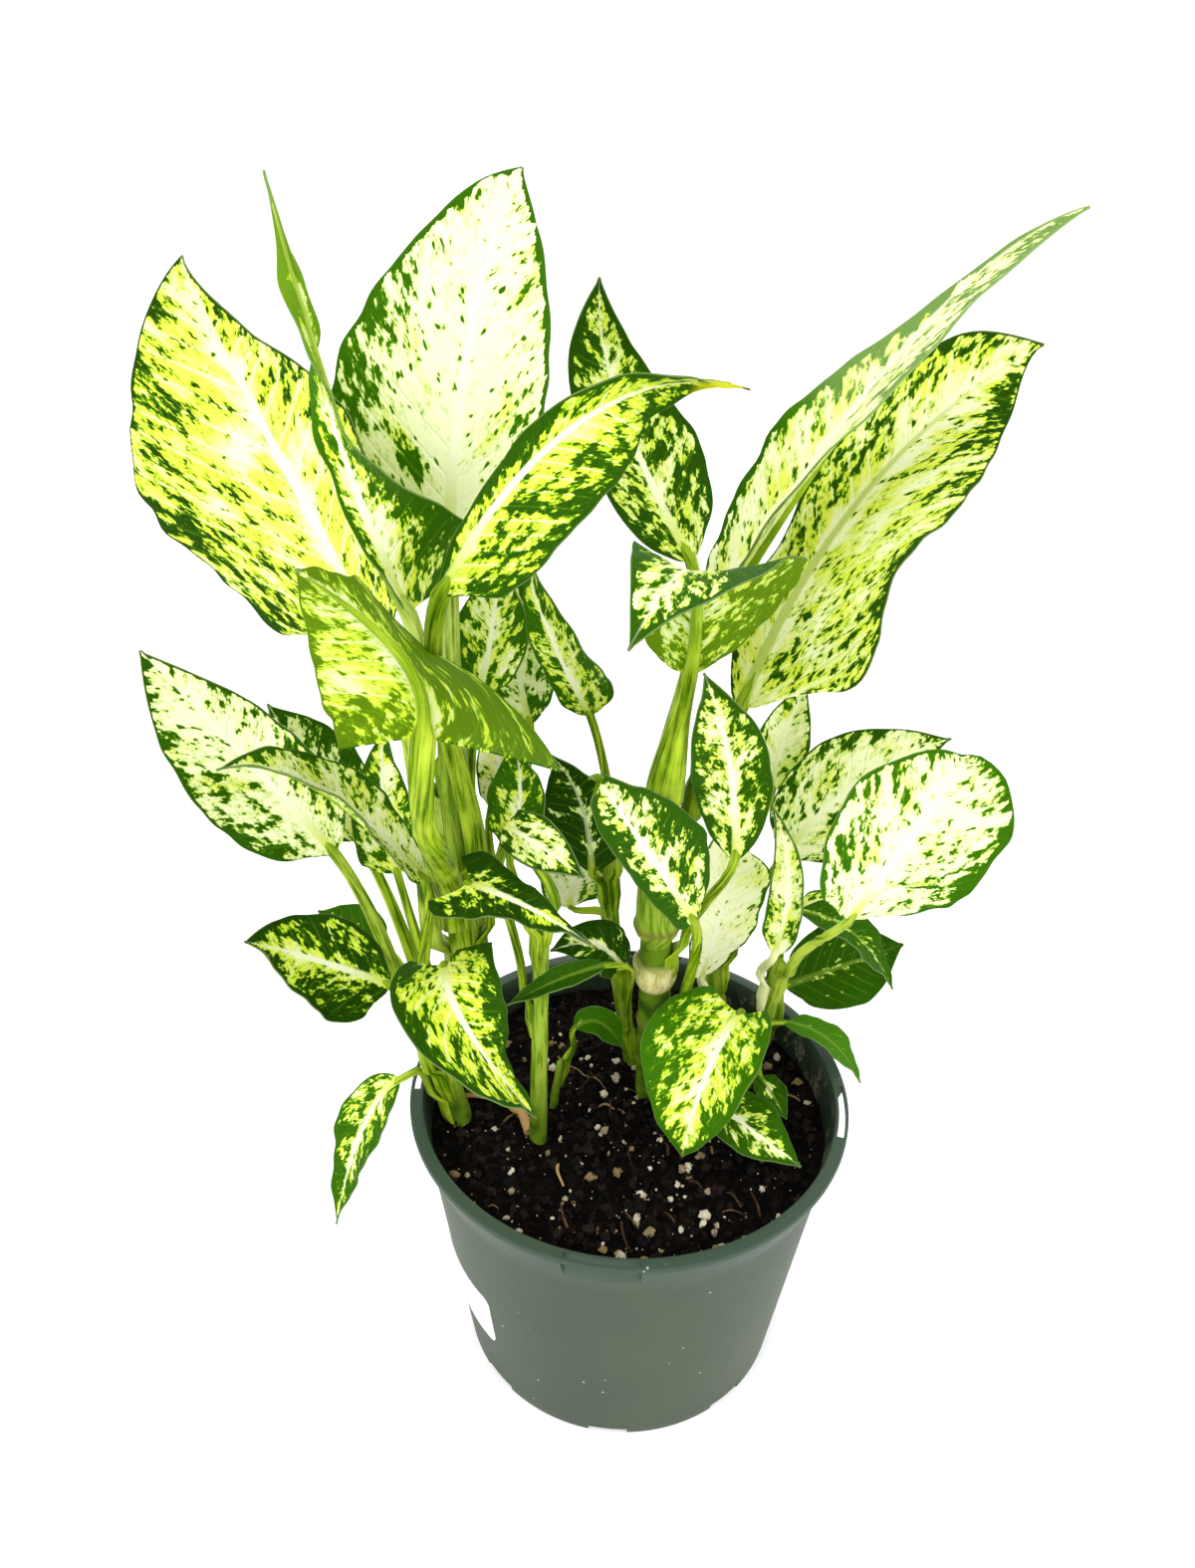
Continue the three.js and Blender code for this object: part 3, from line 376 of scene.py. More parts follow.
leaves = {
    # The tall shoot on the left.
    "far_left": leafOf(
        "left", 168, 190, 3.2, [(-85, 20, 292), (-120, 31, 364), (-135, 22, 409)], (-0.67, -0.74, -0.02),
        90, (6, 3, 1.5), (0.32, 0.85, 0.75), faceTip=(-0.13, -0.93, 0.34), skew=-0.23,
        right=outline(0.47, 0.38, 1.73, 1.66), left=outline(0.56, 0.62, 1.18, 0.92, fold=0),
        drip=(1.5, 0, 1), stout=1.7, top=1.0, stalkPale=0.5, margin=0.8,
        patches=[(-0.7, 0.25, 0.35, 0.1), (0.7, 0.7, 0.3, 0.12)],
    ),
    "left_spear": leafOf(
        "left", 236, 185, 2.8, [(-73, 1, 313), (-87, -1, 358), (-102, -4, 435)], (0.95, -0.19, 0.25), 36,
        (30, 6, 2.2), (0.46, 0.35, 0.7), faceTip=(0.8, -0.56, 0.22), skew=0.59,
        right=outline(0.16, 0.61, 0.9, 1.52, fold=23), left=outline(0.53, 0.1, 0.92, 1.39), lobe=3,
        open=1.2, twist=-244, stout=1.6, top=1.0, stalkPale=0.6, margin=1.6, tipGreen=0.25, flankGreen=0.3,
        tipPale=0.55,
    ),
    "top_centre": leafOf(
        "left", 222, 88, 3.2, [(-64, 31, 320), (-56, 41, 387), (-43, 72, 429)], (-0.37, -0.92, 0.15), 68,
        (8, 4, 1.5), (0.22, 0.25, 0.15), faceTip=(0.07, -0.99, 0.13), skew=-0.17,
        right=outline(0.39, 0.17, 1.85, 0.99), left=outline(0.36, 0.26, 1.35, 0.92), drip=(1, 0, 0),
        stout=1.7, top=1.05, stalkPale=0.6, margin=1.5,
        patches=[
            (-0.85, 0.4, 0.3, 0.35), (-0.75, 0.62, 0.2, 0.25), (0.85, 0.2, 0.3, 0.35),
            (-0.35, 0.22, 0.1, 0.6),
        ],
    ),
    "yellow_tip": leafOf(
        "left", 205, -35, 2.8, [(-61, -16, 327), (-20, -14, 378), (25, 7, 381)], (-0.68, -0.68, -0.26), 32,
        (12, 6, 1.5), (0.52, 0.6, 1), faceTip=(-0.64, -0.61, -0.47), skew=0.5,
        right=outline(0.28, 0.1, 1.94, 1.57), left=outline(0.65, 0.2, 1.91, 1.35), stout=1.6, top=1.05,
        margin=1.4, dry=1,
    ),
    "front_hood": leafOf(
        "left", 182, 262, 3.2, [(-62, -55, 302), (-68, -46, 321), (-89, -66, 354)], (0.15, 0.4, -0.9), 66,
        (17, 8, 1.5), (0.6, 0.6, 0.8), faceTip=(-0.39, 0.74, 0.55), skew=-0.18,
        right=outline(0.19, 0.91, 1.66, 1.05, fold=10), left=outline(0.12, 0.98, 0.91, 1.03, fold=69),
        lobe=2, stout=1.75, top=1.12, margin=0.8, patches=[(0.6, 0.4, 0.55, -0.3)],
    ),
    "mid_back": leafOf(
        "left", 150, 62, 2.4, [(-56, 32, 270), (-52, 38, 288), (-48, 40, 316)], (0, -0.9, 0.3), 26,
        (10, 4, 0.8), (0.54, 0.4, 0.7),
    ),
    "mid_pale": leafOf(
        "left", 172, 5, 2.2, [(-40, 54, 247), (-45, 58, 281), (-42, 58, 314)], (-0.18, -0.95, 0.26), 30,
        (8, 4, 1), (0.56, 0.3, 0.2),
    ),

    # The low shoot on the left.
    "low_left": leafOf(
        "left_low", 152, 156, 2.6, [(-102, -4, 228), (-127, -8, 268), (-151, -14, 306)],
        (0.11, -0.68, 0.72), 41, (10, 5, 1.3), (0.4, 0.6, 0.25), faceTip=(-0.16, -0.66, 0.74), skew=-0.19,
        right=outline(0.36, 0.42, 2.25, 1.24), left=outline(0.38, 0.12, 2.3, 1, width=37), stalkPale=0.5,
        margin=0.8, patches=[(-0.7, 0.28, 0.35, 0.15), (0.6, 0.5, 0.25, 0.12)],
    ),
    "low_left_behind": leafOf(
        "left_low", 136, 85, 2.4, [(-100, 24, 215), (-116, 30, 238), (-127, 27, 267)], (0.4, -0.5, 0.77),
        37, (8, 4, 1), (0.5, 0.6, 0.2),
    ),
    "arching": leafOf(
        "left_low", 156, 305, 2.2, [(-71, -16, 227), (-97, -38, 275), (-115, -68, 298)],
        (-0.1, -0.38, 0.92), 22, (22, 10, 1), (0.42, 0.5, 0.5), faceTip=(0.2, -0.37, 0.9),
    ),
    "corner": leafOf(
        "left_low", 156, 55, 2, [(-85, 15, 207), (-88, 15, 240), (-85, 15, 267)], (0, -0.95, 0.33), 24,
        (10, 4, 1), (0.5, 0.5, 0.6), widest=0.25, root=0.8,
    ),
    "spotted_left": leafOf(
        "left_low", 126, 245, 2.2, [(-85, -14, 180), (-111, -23, 199), (-124, -41, 219)],
        (0.18, -0.5, 0.86), 37, (8, 5, 1.2), (0.58, 0.9, 1.0), skew=-0.12, widest=0.35, root=0.34,
        stalkPale=0.4, margin=2.2,
    ),
    "behind_spotted": leafOf(
        "left_low", 116, 122, 2, [(-93, 24, 165), (-106, 29, 169), (-120, 35, 174)], (0.16, -0.74, 0.65),
        23, (8, 4, 0.8), (0.9, 0.5, 0.6),
    ),
    "heart_left": leafOf(
        "left_low", 134, 330, 2.2, [(-63, -33, 205), (-53, -60, 202), (-32, -60, 165)], (-0.23, 0.09, 0.97),
        36, (6, 6, 1.2), (0.5, 0.7, 1.0), faceTip=(0.18, -0.09, 0.98), skew=0.06,
        right=outline(0.37, 0.59, 1.87, 1.33), left=outline(0.05, 0.25, 2.17, 0.96), lobe=10, margin=2.0,
    ),
    "over_rim": leafOf(
        "left_low", 110, 200, 1.8, [(-84, -17, 138), (-98, -20, 116), (-109, -31, 77)], (-0.55, -0.68, 0.5),
        22, (10, 6, 1), (0.62, 0.3, 0.7), faceTip=(-0.68, -0.6, 0.45), widest=0.35, rise=0.9, margin=1.2,
    ),

    # The slim shoot at the front.
    "drooping": leafOf(
        "front", 196, 230, 2, [(-54, -36, 240), (-34, -48, 240), (-14, -60, 235)], (0.1, -0.4, 0.9), 27,
        (4, 5, 1.5), (0.62, 0.9, 1.0), skew=0.12, widest=0.08, root=0.7, blunt=1, lobe=8, margin=1.8,
        dry=0.3,
    ),
    "small_folded": leafOf(
        "front", 207, 320, 1.8, [(-43, -26, 255), (-31, -36, 254), (-18, -44, 249)], (-0.15, -0.7, 0.69),
        19, (26, 10, 1), (0.5, 0.8, 0.5), margin=0.7,
    ),
    "small_upright": leafOf(
        "front", 180, 100, 1.8, [(-44, 2, 227), (-40, 2, 248), (-42, 2, 271)], (-0.34, -0.9, 0.28), 22,
        (12, 6, 1), (0.6, 0.4, 0.8), root=0.6,
    ),
    "small_pale": leafOf(
        "front", 166, 170, 1.7, [(-51, 14, 236), (-48, 14, 252), (-53, 14, 271)], (0, -0.9, 0.3), 16,
        (16, 6, 0.8), (0.35, 0.4, 0.6),
    ),
    "thin": leafOf(
        "middle", 118, 290, 1.4, [(-11, -20, 196), (-26, -27, 195), (-43, -31, 187)], (-0.2, -0.5, 0.8), 9,
        (16, 6, 0.6), (0.95, 0.6, 0.6),
    ),
    "sprout": leafOf(
        "sprout", 124, 20, 1.3, [(-21, 2, 148), (-12, 4, 149), (-3, 6, 135)], (0, -0.6, 0.8), 12,
        (16, 6, 0.6), (0.95, 0.2, 0.6),
    ),

    # The slim shoot in the middle.
    "dark_upright": leafOf(
        "middle", 190, 200, 2, [(-16, 13, 211), (-20, 13, 239), (-30, 4, 263)], (-0.26, -0.85, 0.46), 28,
        (10, 5, 1), (0.74, 0.95, 0.4),
    ),
    "pale_back": leafOf(
        "middle", 166, 120, 1.6, [(-24, 32, 181), (-20, 31, 201), (-5, 32, 222)], (0.07, -0.84, 0.54), 28,
        (8, 4, 1), (0.4, 0.3, 0.3),
    ),
    "dark_small": leafOf(
        "middle", 150, 300, 1.6, [(-4, 8, 172), (-15, 2, 187), (-30, -2, 187)], (0, -0.6, 0.8), 20,
        (8, 4, 1), (0.7, 0.9, 0.5),
    ),
    "mid_centre": leafOf(
        "middle", 194, 300, 2, [(-18, 27, 266), (-34, 19, 307), (-36, 36, 314)], (-0.24, -0.91, 0.34), 24,
        (12, 6, 1.2), (0.52, 0.4, 0.7), faceTip=(-0.67, -0.64, 0.38), skew=0.37,
        right=outline(0.39, 0.34, 0.9, 1.08), left=outline(0.31, 0.51, 2.42, 1.09), margin=0.8,
    ),

    # The thick cane on the right.
    "folded_right": leafOf(
        "right", 236, 262, 3.4, [(13, 0, 296), (9, -32, 342), (-8, -67, 335)], (0, 0.3, 1), 46,
        (10, 8, 1.5), (0.6, 0.5, 0.6), faceTip=(0, -0.5, 0.8), skew=-0.15, widest=0.45, root=0.5,
        left=outline(0.5, 0.2, 1.4, 1.2, width=52), stout=1.9, margin=2.4,
    ),
    "big_right": leafOf(
        "right", 222, 24, 3.4, [(31, 11, 279), (68, 38, 342), (118, 49, 386)], (-0.55, -0.53, 0.64), 67,
        (10, 4, 1.6), (0.33, 0.8, 0.62), faceTip=(-0.77, -0.26, -0.58), skew=0.38,
        right=outline(0.24, 0.21, 3.5, 1.7), left=outline(0.62, 0.26, 3.5, 0.92), nip=(0.42, 0.14, 0.14),
        stout=1.4, margin=0.8, ribGreen=0.9,
        patches=[(0.55, 0.85, 0.25, 0.25), (-0.6, 0.62, 0.25, 0.25), (0.25, 0.2, 0.3, 0.2)],
    ),
    "long_right": leafOf(
        "right", 238, 78, 3.2, [(16, 19, 296), (67, 14, 390), (109, 6, 430)], (-0.83, -0.04, 0.55), 46,
        (26, 6, 1.2), (0.27, 0.5, 0.3), faceTip=(-0.69, -0.61, 0.39), skew=0.18,
        right=outline(0.28, 0.3, 3.5, 1.1), left=outline(0.4, 0.31, 1.04, 1.94), wrap=26, stout=1.3,
        margin=1.6, tipGreen=0.3, tipPale=1.4,
    ),
    "back_right": leafOf(
        "right", 204, 122, 3, [(15, 56, 311), (-11, 77, 358), (-18, 68, 398)], (0.01, -0.91, 0.42), 37,
        (10, 5, 1.2), (0.55, 0.75, 0.6), faceTip=(0.06, -0.91, 0.41), skew=0.11,
        right=outline(0.35, 0.3, 1.22, 0.93), left=outline(0.36, 0.32, 3.48, 1.22), drip=(0, 0, 0.8),
        margin=2.2,
    ),

    # Two more leaves of the thick cane, then those of the slim cane behind it.
    "right_upright": leafOf(
        "right", 168, -14, 2.2, [(33, 7, 222), (28, 3, 262), (16, -14, 303)], (-0.1, -0.87, 0.48), 27,
        (10, 5, 1), (0.54, 0.6, 0.6), widest=0.45, root=0.22, margin=1.6,
    ),
    "centre_right": leafOf(
        "right", 132, -25, 2.4, [(19, -8, 206), (-7, -21, 257), (-17, -37, 280)], (0.14, -0.64, 0.76), 29,
        (8, 5, 1.2), (0.55, 0.6, 0.5), faceTip=(-0.31, -0.62, 0.72), skew=0.3,
        right=outline(0.35, 0.32, 1.74, 1.29), left=outline(0.53, 0.62, 2.35, 1.25), margin=2.6,
        patches=[(0.25, 0.45, 0.2, 0.15)],
    ),
    "white_stalk": leafOf(
        "back", 124, 240, 2.2, [(27, 28, 152), (33, 26, 193), (37, 42, 205)], (0.38, -0.74, 0.56), 30,
        (14, 6, 1), (0.1, 0.3, 0.1), widest=0.7, root=0.25, blunt=3.5, taper=1, stalkPale=1,
    ),
    "behind_right": leafOf(
        "back", 160, 60, 2.2, [(53, 69, 212), (56, 73, 234), (63, 75, 256)], (0, -0.9, 0.4), 21, (10, 4, 1),
        (0.3, 0.4, 0.3),
    ),
    "far_right_back": leafOf(
        "back", 138, 0, 2.2, [(57, 50, 194), (83, 54, 226), (114, 54, 245)], (-0.19, -0.78, 0.6), 41,
        (8, 5, 1), (0.4, 0.7, 0.3),
    ),

    # The slim cane at the far right.
    "rolled": leafOf(
        "far_right", 138, 190, 2, [(52.5, 18, 172), (54, 18, 208), (44, 11, 242)], (-0.37, -0.87, 0.34), 17,
        (26, 14, 1), (0.36, 0.4, 0.5), faceTip=(-0.1, -0.93, 0.36), widest=0.3, stalkPale=1,
    ),
    "round_right": leafOf(
        "far_right", 146, 290, 2.2, [(75, 4, 200), (94, 1, 246), (109, 18, 259)], (0.26, -0.94, 0.22), 54,
        (8, 5, 1.4), (0.33, 0.15, 0.15), faceTip=(-0.47, -0.85, 0.24), skew=-0.01,
        right=outline(0.58, 0.34, 3.27, 0.93), left=outline(0.54, 0.3, 1.78, 1.24), stalkPale=0.5,
        margin=1.4, patches=[(0.95, 0.45, 0.5, 0.15), (-0.8, 0.35, 0.3, 0.12)],
    ),
    "dark_right": leafOf(
        "far_right", 112, 22, 1.8, [(64, 50, 130), (87, 56, 136), (112, 60, 145)], (-0.13, -0.66, 0.74), 37,
        (10, 5, 1.4), (0.9, 0.6, 0.6), widest=0.5, root=0.26,
    ),
    "drooping_right": leafOf(
        "far_right", 126, 80, 1.6, [(65, 42, 174), (86, 38, 166), (103, 34, 143)], (0.18, -0.25, 0.95), 18,
        (10, 6, 1), (0.85, 0.5, 0.6),
    ),
    "curled_yellow": leafOf(
        "far_right", 152, 110, 1.4, [(68, 60, 163), (79, 62, 161), (88, 62, 153)], (0, -0.7, 0.7), 15,
        (20, 10, 1), (0.55, 0.4, 0.8),
    ),

    # The short cane at the front right.
    "heart_front": leafOf(
        "front_right", 128, 200, 1.8, [(38, -4, 162), (25, -30, 156), (18, -40, 127)], (-0.16, -0.5, 0.85),
        42, (6, 6, 1.4), (0.47, 0.2, 0.8), faceTip=(-0.12, -0.51, 0.85), skew=0.22,
        right=outline(0.41, 0.54, 1.48, 1.11), left=outline(0.34, 0.5, 2.29, 1.11), lobe=8, margin=2.0,
        patches=[(0.65, 0.5, 0.4, 0.2), (-0.8, 0.75, 0.3, 0.15)], dry=0.25,
    ),
    "low_front": leafOf(
        "front_right", 112, 240, 1.5, [(28, -10, 127), (44, -25, 125), (61, -36, 119)], (0.09, -0.27, 0.96),
        25, (8, 5, 0.8), (0.64, 0.5, 0.6), margin=2.2,
    ),
    "low_front_behind": leafOf(
        "front_right", 116, 320, 1.3, [(49, 0, 128), (53, -8, 126), (58, -15, 121)], (0, -0.3, 0.95), 12,
        (8, 5, 0.8), (0.9, 0.6, 0.6),
    ),
    "grey_rim": leafOf(
        "front_right", 120, 40, 1.5, [(62, 30, 128), (78, 20, 128), (91, 14, 112)], (0.23, -0.17, 0.96), 14,
        (10, 6, 0.8), (0.95, -0.15, 0.4),
    ),
}

# boxSides are the sides of the plant's box in x, past which a blade is pressed in by a share.
bladeForm = {
    "thick": 0.5, "tip": 0.35, "ribRise": 0.45, "ribWidth": 0.0275, "quilt": 0.22,
    "veinSlant": 0.8, "veinBend": 0.004, "uneven": 0.05, "unevenRun": 9,
    "rowRun": 1.8, "rows": (24, 64), "columnRun": 5, "columns": (9, 15),
    "boxSides": (-162.6, 118.8), "press": 0.5,
}
# How fast each ripple of the margin runs, how high it is, how it gathers outward, and its phases.
ripples = ((15, 1, 2, 1.7, 0), (41, 0.35, 3, 0.6, 2.4))
canePaths = {
    name: Path(lambda t, points=[Vector(p) for p in path]: caneSpot(points, t))
    for name, (path, _, _) in canes.items()
}


def caneRadius(name, at):
    _, low, top = canes[name]
    return lerp(low, top, at)


def heightOn(path, z):
    # The share of a path at which it reaches a height.
    steps = 80
    return next((i / steps for i in range(steps + 1) if path.at(i / steps).z >= z), 1)


def halfOf(leaf, s):
    # The values of one half of a blade, on its right (s above 0) or on its left.
    return {**leaf, **leaf["right" if s > 0 else "left"]}


def halfWidth(leaf, t, s):
    half = halfOf(leaf, s)
    widest, root = half["widest"], half["root"]
    nipAt, nip, nipSpread = half["nip"]
    nipped = 1 - nip * math.exp(-(((t - nipAt) / nipSpread) ** 2))
    most = half["width"] / 2 * (1 + leaf["skew"] * s) * nipped
    if t < widest:
        return most * (root + (1 - root) * math.sin(math.pi / 2 * (t / widest) ** 0.8))
    u = (t - widest) / (1 - widest)
    return max(bladeForm["tip"], most * (1 - u ** half["blunt"]) ** half["taper"])


def ribHalf(leaf, t):
    return (0.7 + bladeForm["ribWidth"] * leaf["width"]) * (1 - 0.85 * t)


def bladeFrame(leaf, rib, t):
    # The midrib's spot at t, with the ways along it, across it and out of its upper face.
    along = rib.along(t)
    face = Vector(leaf["face"]).lerp(Vector(leaf["faceTip"]), t)
    face = (face - along * face.dot(along)).normalized()
    face = Matrix.Rotation(math.radians(leaf["twist"]) * t, 3, along) @ face
    return rib.at(t), along, along.cross(face), face


def bladeSpot(leaf, rib, s, t, spacing):
    # A place on the blade, s from -1 to 1 across it and t from its base to its tip, how far it is from
    # the midrib and from the margin, and where the side veins start that run through it.
    middle, along, side, face = bladeFrame(leaf, rib, t)
    half = halfOf(leaf, s)
    out = abs(s)
    fade = min(1, 6 * t) * min(1, 5 * (1 - t))
    wide = halfWidth(leaf, t, math.copysign(1, s))
    uneven = noise.noise(Vector((t * rib.total / bladeForm["unevenRun"], math.copysign(3, s), leaf["width"])))
    wide *= 1 + bladeForm["uneven"] * uneven * min(1, 8 * t) * min(1, 5 * (1 - t))
    lift = math.radians((half["fold"] + half["curl"] * out) * min(1, 0.3 + 3 * t))
    lift *= 1 - leaf["open"] * t
    ripple = 0
    for pace, high, gather, right, left in ripples:
        phase = t * pace + (right if s > 0 else left)
        ripple += high * leaf["wave"] * out**gather * fade * math.sin(phase)
    if leaf["lobe"] is None:
        back = -0.55 * wide * out**2.5 * max(0, 1 - t * 7) ** 2
    else:
        back = leaf["lobe"] * out**1.5 * (1 - t) ** 5
    ribWide = ribHalf(leaf, t)
    away = out * wide
    q = t * rib.total - bladeForm["veinSlant"] * away - bladeForm["veinBend"] * away**2
    quilt = -bladeForm["quilt"] * math.cos(2 * math.pi * q / spacing) * fade
    quilt *= ease(ribWide, ribWide + 5, away) * ease(0, 0.25, 1 - out)
    quilt += bladeForm["ribRise"] * (1 - t) * (1 - ease(0, ribWide * 1.2, away))
    spot = middle + side * (s * wide * math.cos(lift)) - along * back
    spot += face * (away * math.sin(lift) + ripple + quilt)
    return spot, away, wide - away, q


def addLayers(bm):
    # What each point carries for the colours: where the side veins run, where it is on its leaf, how
    # green, dark and yellow it is, how near the margin and the midrib are, and how wide the margin is.
    names = ("vein", "leafAt", "tint", "edge", "rim")
    return {name: bm.verts.layers.float_vector.new(name) for name in names}


def greenAt(leaf, s, t):
    green = leaf["green"] + leaf["tipGreen"] * ease(0.35, 0.85, t)
    green += leaf["flankGreen"] * ease(0, 1, s) * (1 - ease(0.3, 0.6, t))
    for patchS, patchT, size, more in leaf["patches"]:
        far = math.hypot(s - patchS, (t - patchT) * 2.2) / size
        green += more * math.exp(-far * far)
    return green


def makeBlade(leaf, rib, seed):
    rows = clamp(round(rib.total / bladeForm["rowRun"]), *bladeForm["rows"])
    columns = 2 * clamp(round(leaf["width"] / bladeForm["columnRun"]), *bladeForm["columns"])
    spacing = 3 + 0.075 * leaf["width"]
    bm = bmesh.new()
    layers = addLayers(bm)
    bmesh.ops.create_grid(bm, x_segments=columns, y_segments=rows, size=0.5)
    for vert in bm.verts:
        across = vert.co.x * 2
        s = math.copysign(abs(across) ** 1.15, across)
        t = vert.co.y + 0.5
        spot, away, edge, q = bladeSpot(leaf, rib, s, t, spacing)
        spot += Vector(leaf["drip"]) * t**24
        for side, bound in zip((-1, 1), bladeForm["boxSides"]):
            spot.x -= side * max(0, side * (spot.x - bound)) * bladeForm["press"]
        dark = leaf["dark"] - leaf["tipPale"] * ease(0.35, 0.6, t)
        vert.co = spot * mm
        vert[layers["vein"]] = (q / 10, away * 1.3 / 10, q / spacing)
        vert[layers["leafAt"]] = (s, t, seed)
        vert[layers["tint"]] = (greenAt(leaf, s, t), dark, leaf["yellow"])
        vert[layers["edge"]] = (edge / 10, away / ribHalf(leaf, t), leaf["dry"])
        vert[layers["rim"]] = (leaf["margin"] / 10, leaf["ribGreen"], 0)
    made = newObject("blade", bm)
    made.data.materials.append(None)
    made.data.materials.append(None)
    wall = made.modifiers.new("wall", "SOLIDIFY")
    wall.thickness = bladeForm["thick"] * mm
    wall.offset = 0
    wall.material_offset = 1
    return applied(made)


# The sheath's rings: how far each lies along the cane, how thick it is, and its place in the streaks.
sheathRings = ((-6, 0.5, 0), (-2, 1.3, 4), (1, 2.2, 7), (5, 2.2, 11), (9, 2.2, 15))
stalkForm = {"neck": 6, "clear": 0.9, "lift": 5, "flat": 0.4, "runs": 16, "ribShare": 0.94, "sides": 16}


def roundRing(centre, along, face, radius, flat=1.0):
    # A ring of a stalk. flat is how high its upper half is.
    upper = (face - along * face.dot(along)).normalized()
    side = along.cross(upper)

    def spot(s, isUpper):
        turn = math.radians(90 - 90 * s)
        high = math.sin(turn) * radius
        high = high * flat if isUpper else -high
        return centre + side * (radius * math.cos(turn)) + upper * high

    return spot


def blendRing(a, b, k):
    return lambda s, isUpper: a(s, isUpper).lerp(b(s, isUpper), k)


def stalkSections(leaf, rib):
    # Where the stalk's rings go: round the cane, up to the blade, and on under the midrib. Each says
    # whether it is under the midrib, its place in the streaks, and where its points are.
    path = canePaths[leaf["cane"]]
    wrap = math.radians(leaf["wrap"] * 1.25)
    low = heightOn(path, leaf["at"])
    outward = Vector((math.cos(math.radians(leaf["turn"])), math.sin(math.radians(leaf["turn"])), 0))

    def caneFrame(rise):
        at = min(1, low + rise / path.total)
        along = path.along(at)
        out = (outward - along * outward.dot(along)).normalized()
        return path.at(at), along, out, caneRadius(leaf["cane"], at)

    def crescent(rise, thick):
        middle, along, out, radius = caneFrame(rise)
        side = along.cross(-out)
        inner = radius + clearance

        def spot(s, isUpper):
            turn = s * wrap
            reach = inner + (0 if isUpper else thick * math.cos(s * math.pi / 2) ** 0.5)
            return middle + out * (reach * math.cos(turn)) + side * (reach * math.sin(turn))

        return spot

    sections = [(0, run, crescent(rise, thick)) for rise, thick, run in sheathRings]
    rise, thick, run = sheathRings[-1]
    middle, along, out, radius = caneFrame(rise)
    reach = radius + clearance + leaf["stalk"] + stalkForm["clear"]
    start = middle + along * stalkForm["lift"] + out * reach
    base = rib.at(0)
    gap = (base - start).length
    arrival = rib.along(0).lerp((base - start).normalized(), 0.3).normalized()
    points = [start, start + along * gap * leaf["rise"], base - arrival * gap * 0.3, base]
    stalk = Path(lambda t: bezier(points, t), 60)
    flat = stalkForm["flat"]
    first = roundRing(start, stalk.along(0), -out, leaf["stalk"] * leaf["stout"], flat)
    for k in (0.25, 0.5, 0.75):
        ring = blendRing(crescent(rise, thick), first, ease(0, 1, k))
        sections.append((0, run + stalkForm["neck"] * k, ring))
    run += stalkForm["neck"]
    steps = clamp(round(gap / 5), 6, 20)
    for i in range(steps + 1):
        at = i / steps
        face = (-out).lerp(Vector(leaf["face"]), at)
        radius = leaf["stalk"] * lerp(leaf["stout"], leaf["top"], ease(0, 0.9, at))
        ring = roundRing(stalk.at(at), stalk.along(at), face, radius, lerp(flat, 0.9, ease(0, 0.7, at)))
        sections.append((0, run + at * gap, ring))
    for i in range(1, stalkForm["runs"] + 1):
        t = stalkForm["ribShare"] * i / stalkForm["runs"]
        middle, along, _, face = bladeFrame(leaf, rib, t)
        radius = max(0.3, leaf["stalk"] * 0.66 * (1 - t) ** 0.8)
        drop = radius * ease(0, 0.08, t) * 0.75
        ring = roundRing(middle - face * drop, along, face, radius)
        sections.append((1, run + gap + t * rib.total, ring))
    return sections


def makeStalk(leaf, rib, seed):
    sections = stalkSections(leaf, rib)
    count = len(sections) - 1
    bm = tubeForm(stalkForm["sides"], count)
    layers = addLayers(bm)
    for vert in bm.verts:
        underRib, run, spot = sections[round((vert.co.z + 0.5) * count)]
        s = math.asin(clamp(vert.co.x, -1, 1)) / (math.pi / 2)
        vert[layers["vein"]] = (s * leaf["stalk"] / 6, run / 10, 0)
        vert[layers["leafAt"]] = (0, 0, seed)
        vert[layers["tint"]] = (0, 0, leaf["stalkPale"])
        vert[layers["edge"]] = (0, underRib, 0)
        vert.co = spot(s, vert.co.y >= 0) * mm
    turnOutward(bm)
    for face in bm.faces:
        face.material_index = 2
    return bm


def makeLeaf(name, leaf, seed, materials):
    base, middle, tip = (Vector(p) for p in leaf["rib"])
    control = middle * 2 - (base + tip) / 2
    rib = Path(lambda t: bezier([base, control, tip], t))
    bm = joined([makeBlade(leaf, rib, seed), makeStalk(leaf, rib, seed)])
    finished(newObject("plant_leaf_" + name, bm, 50), "leaf_skin", materials, "leaf_" + name)


palette = {
    "cream": "f6f8cc", "butter": "e6ee5c", "lime": "cfe23a", "brightLime": "a6cc16", "vein": "f7f9dc",
    "grass": "649c08", "moss": "44740a", "leafGreen": "306404", "bottle": "122e03",
    "paleGrey": "8cab5e", "grey": "6d9048", "ribLow": "cfdc5c", "ribDull": "7fa034", "ribGreen": "b4c654",
    "edgeHighlight": "a4b878", "drying": "d0cc14", "dry": "6a4018", "under": "8fb010",
}


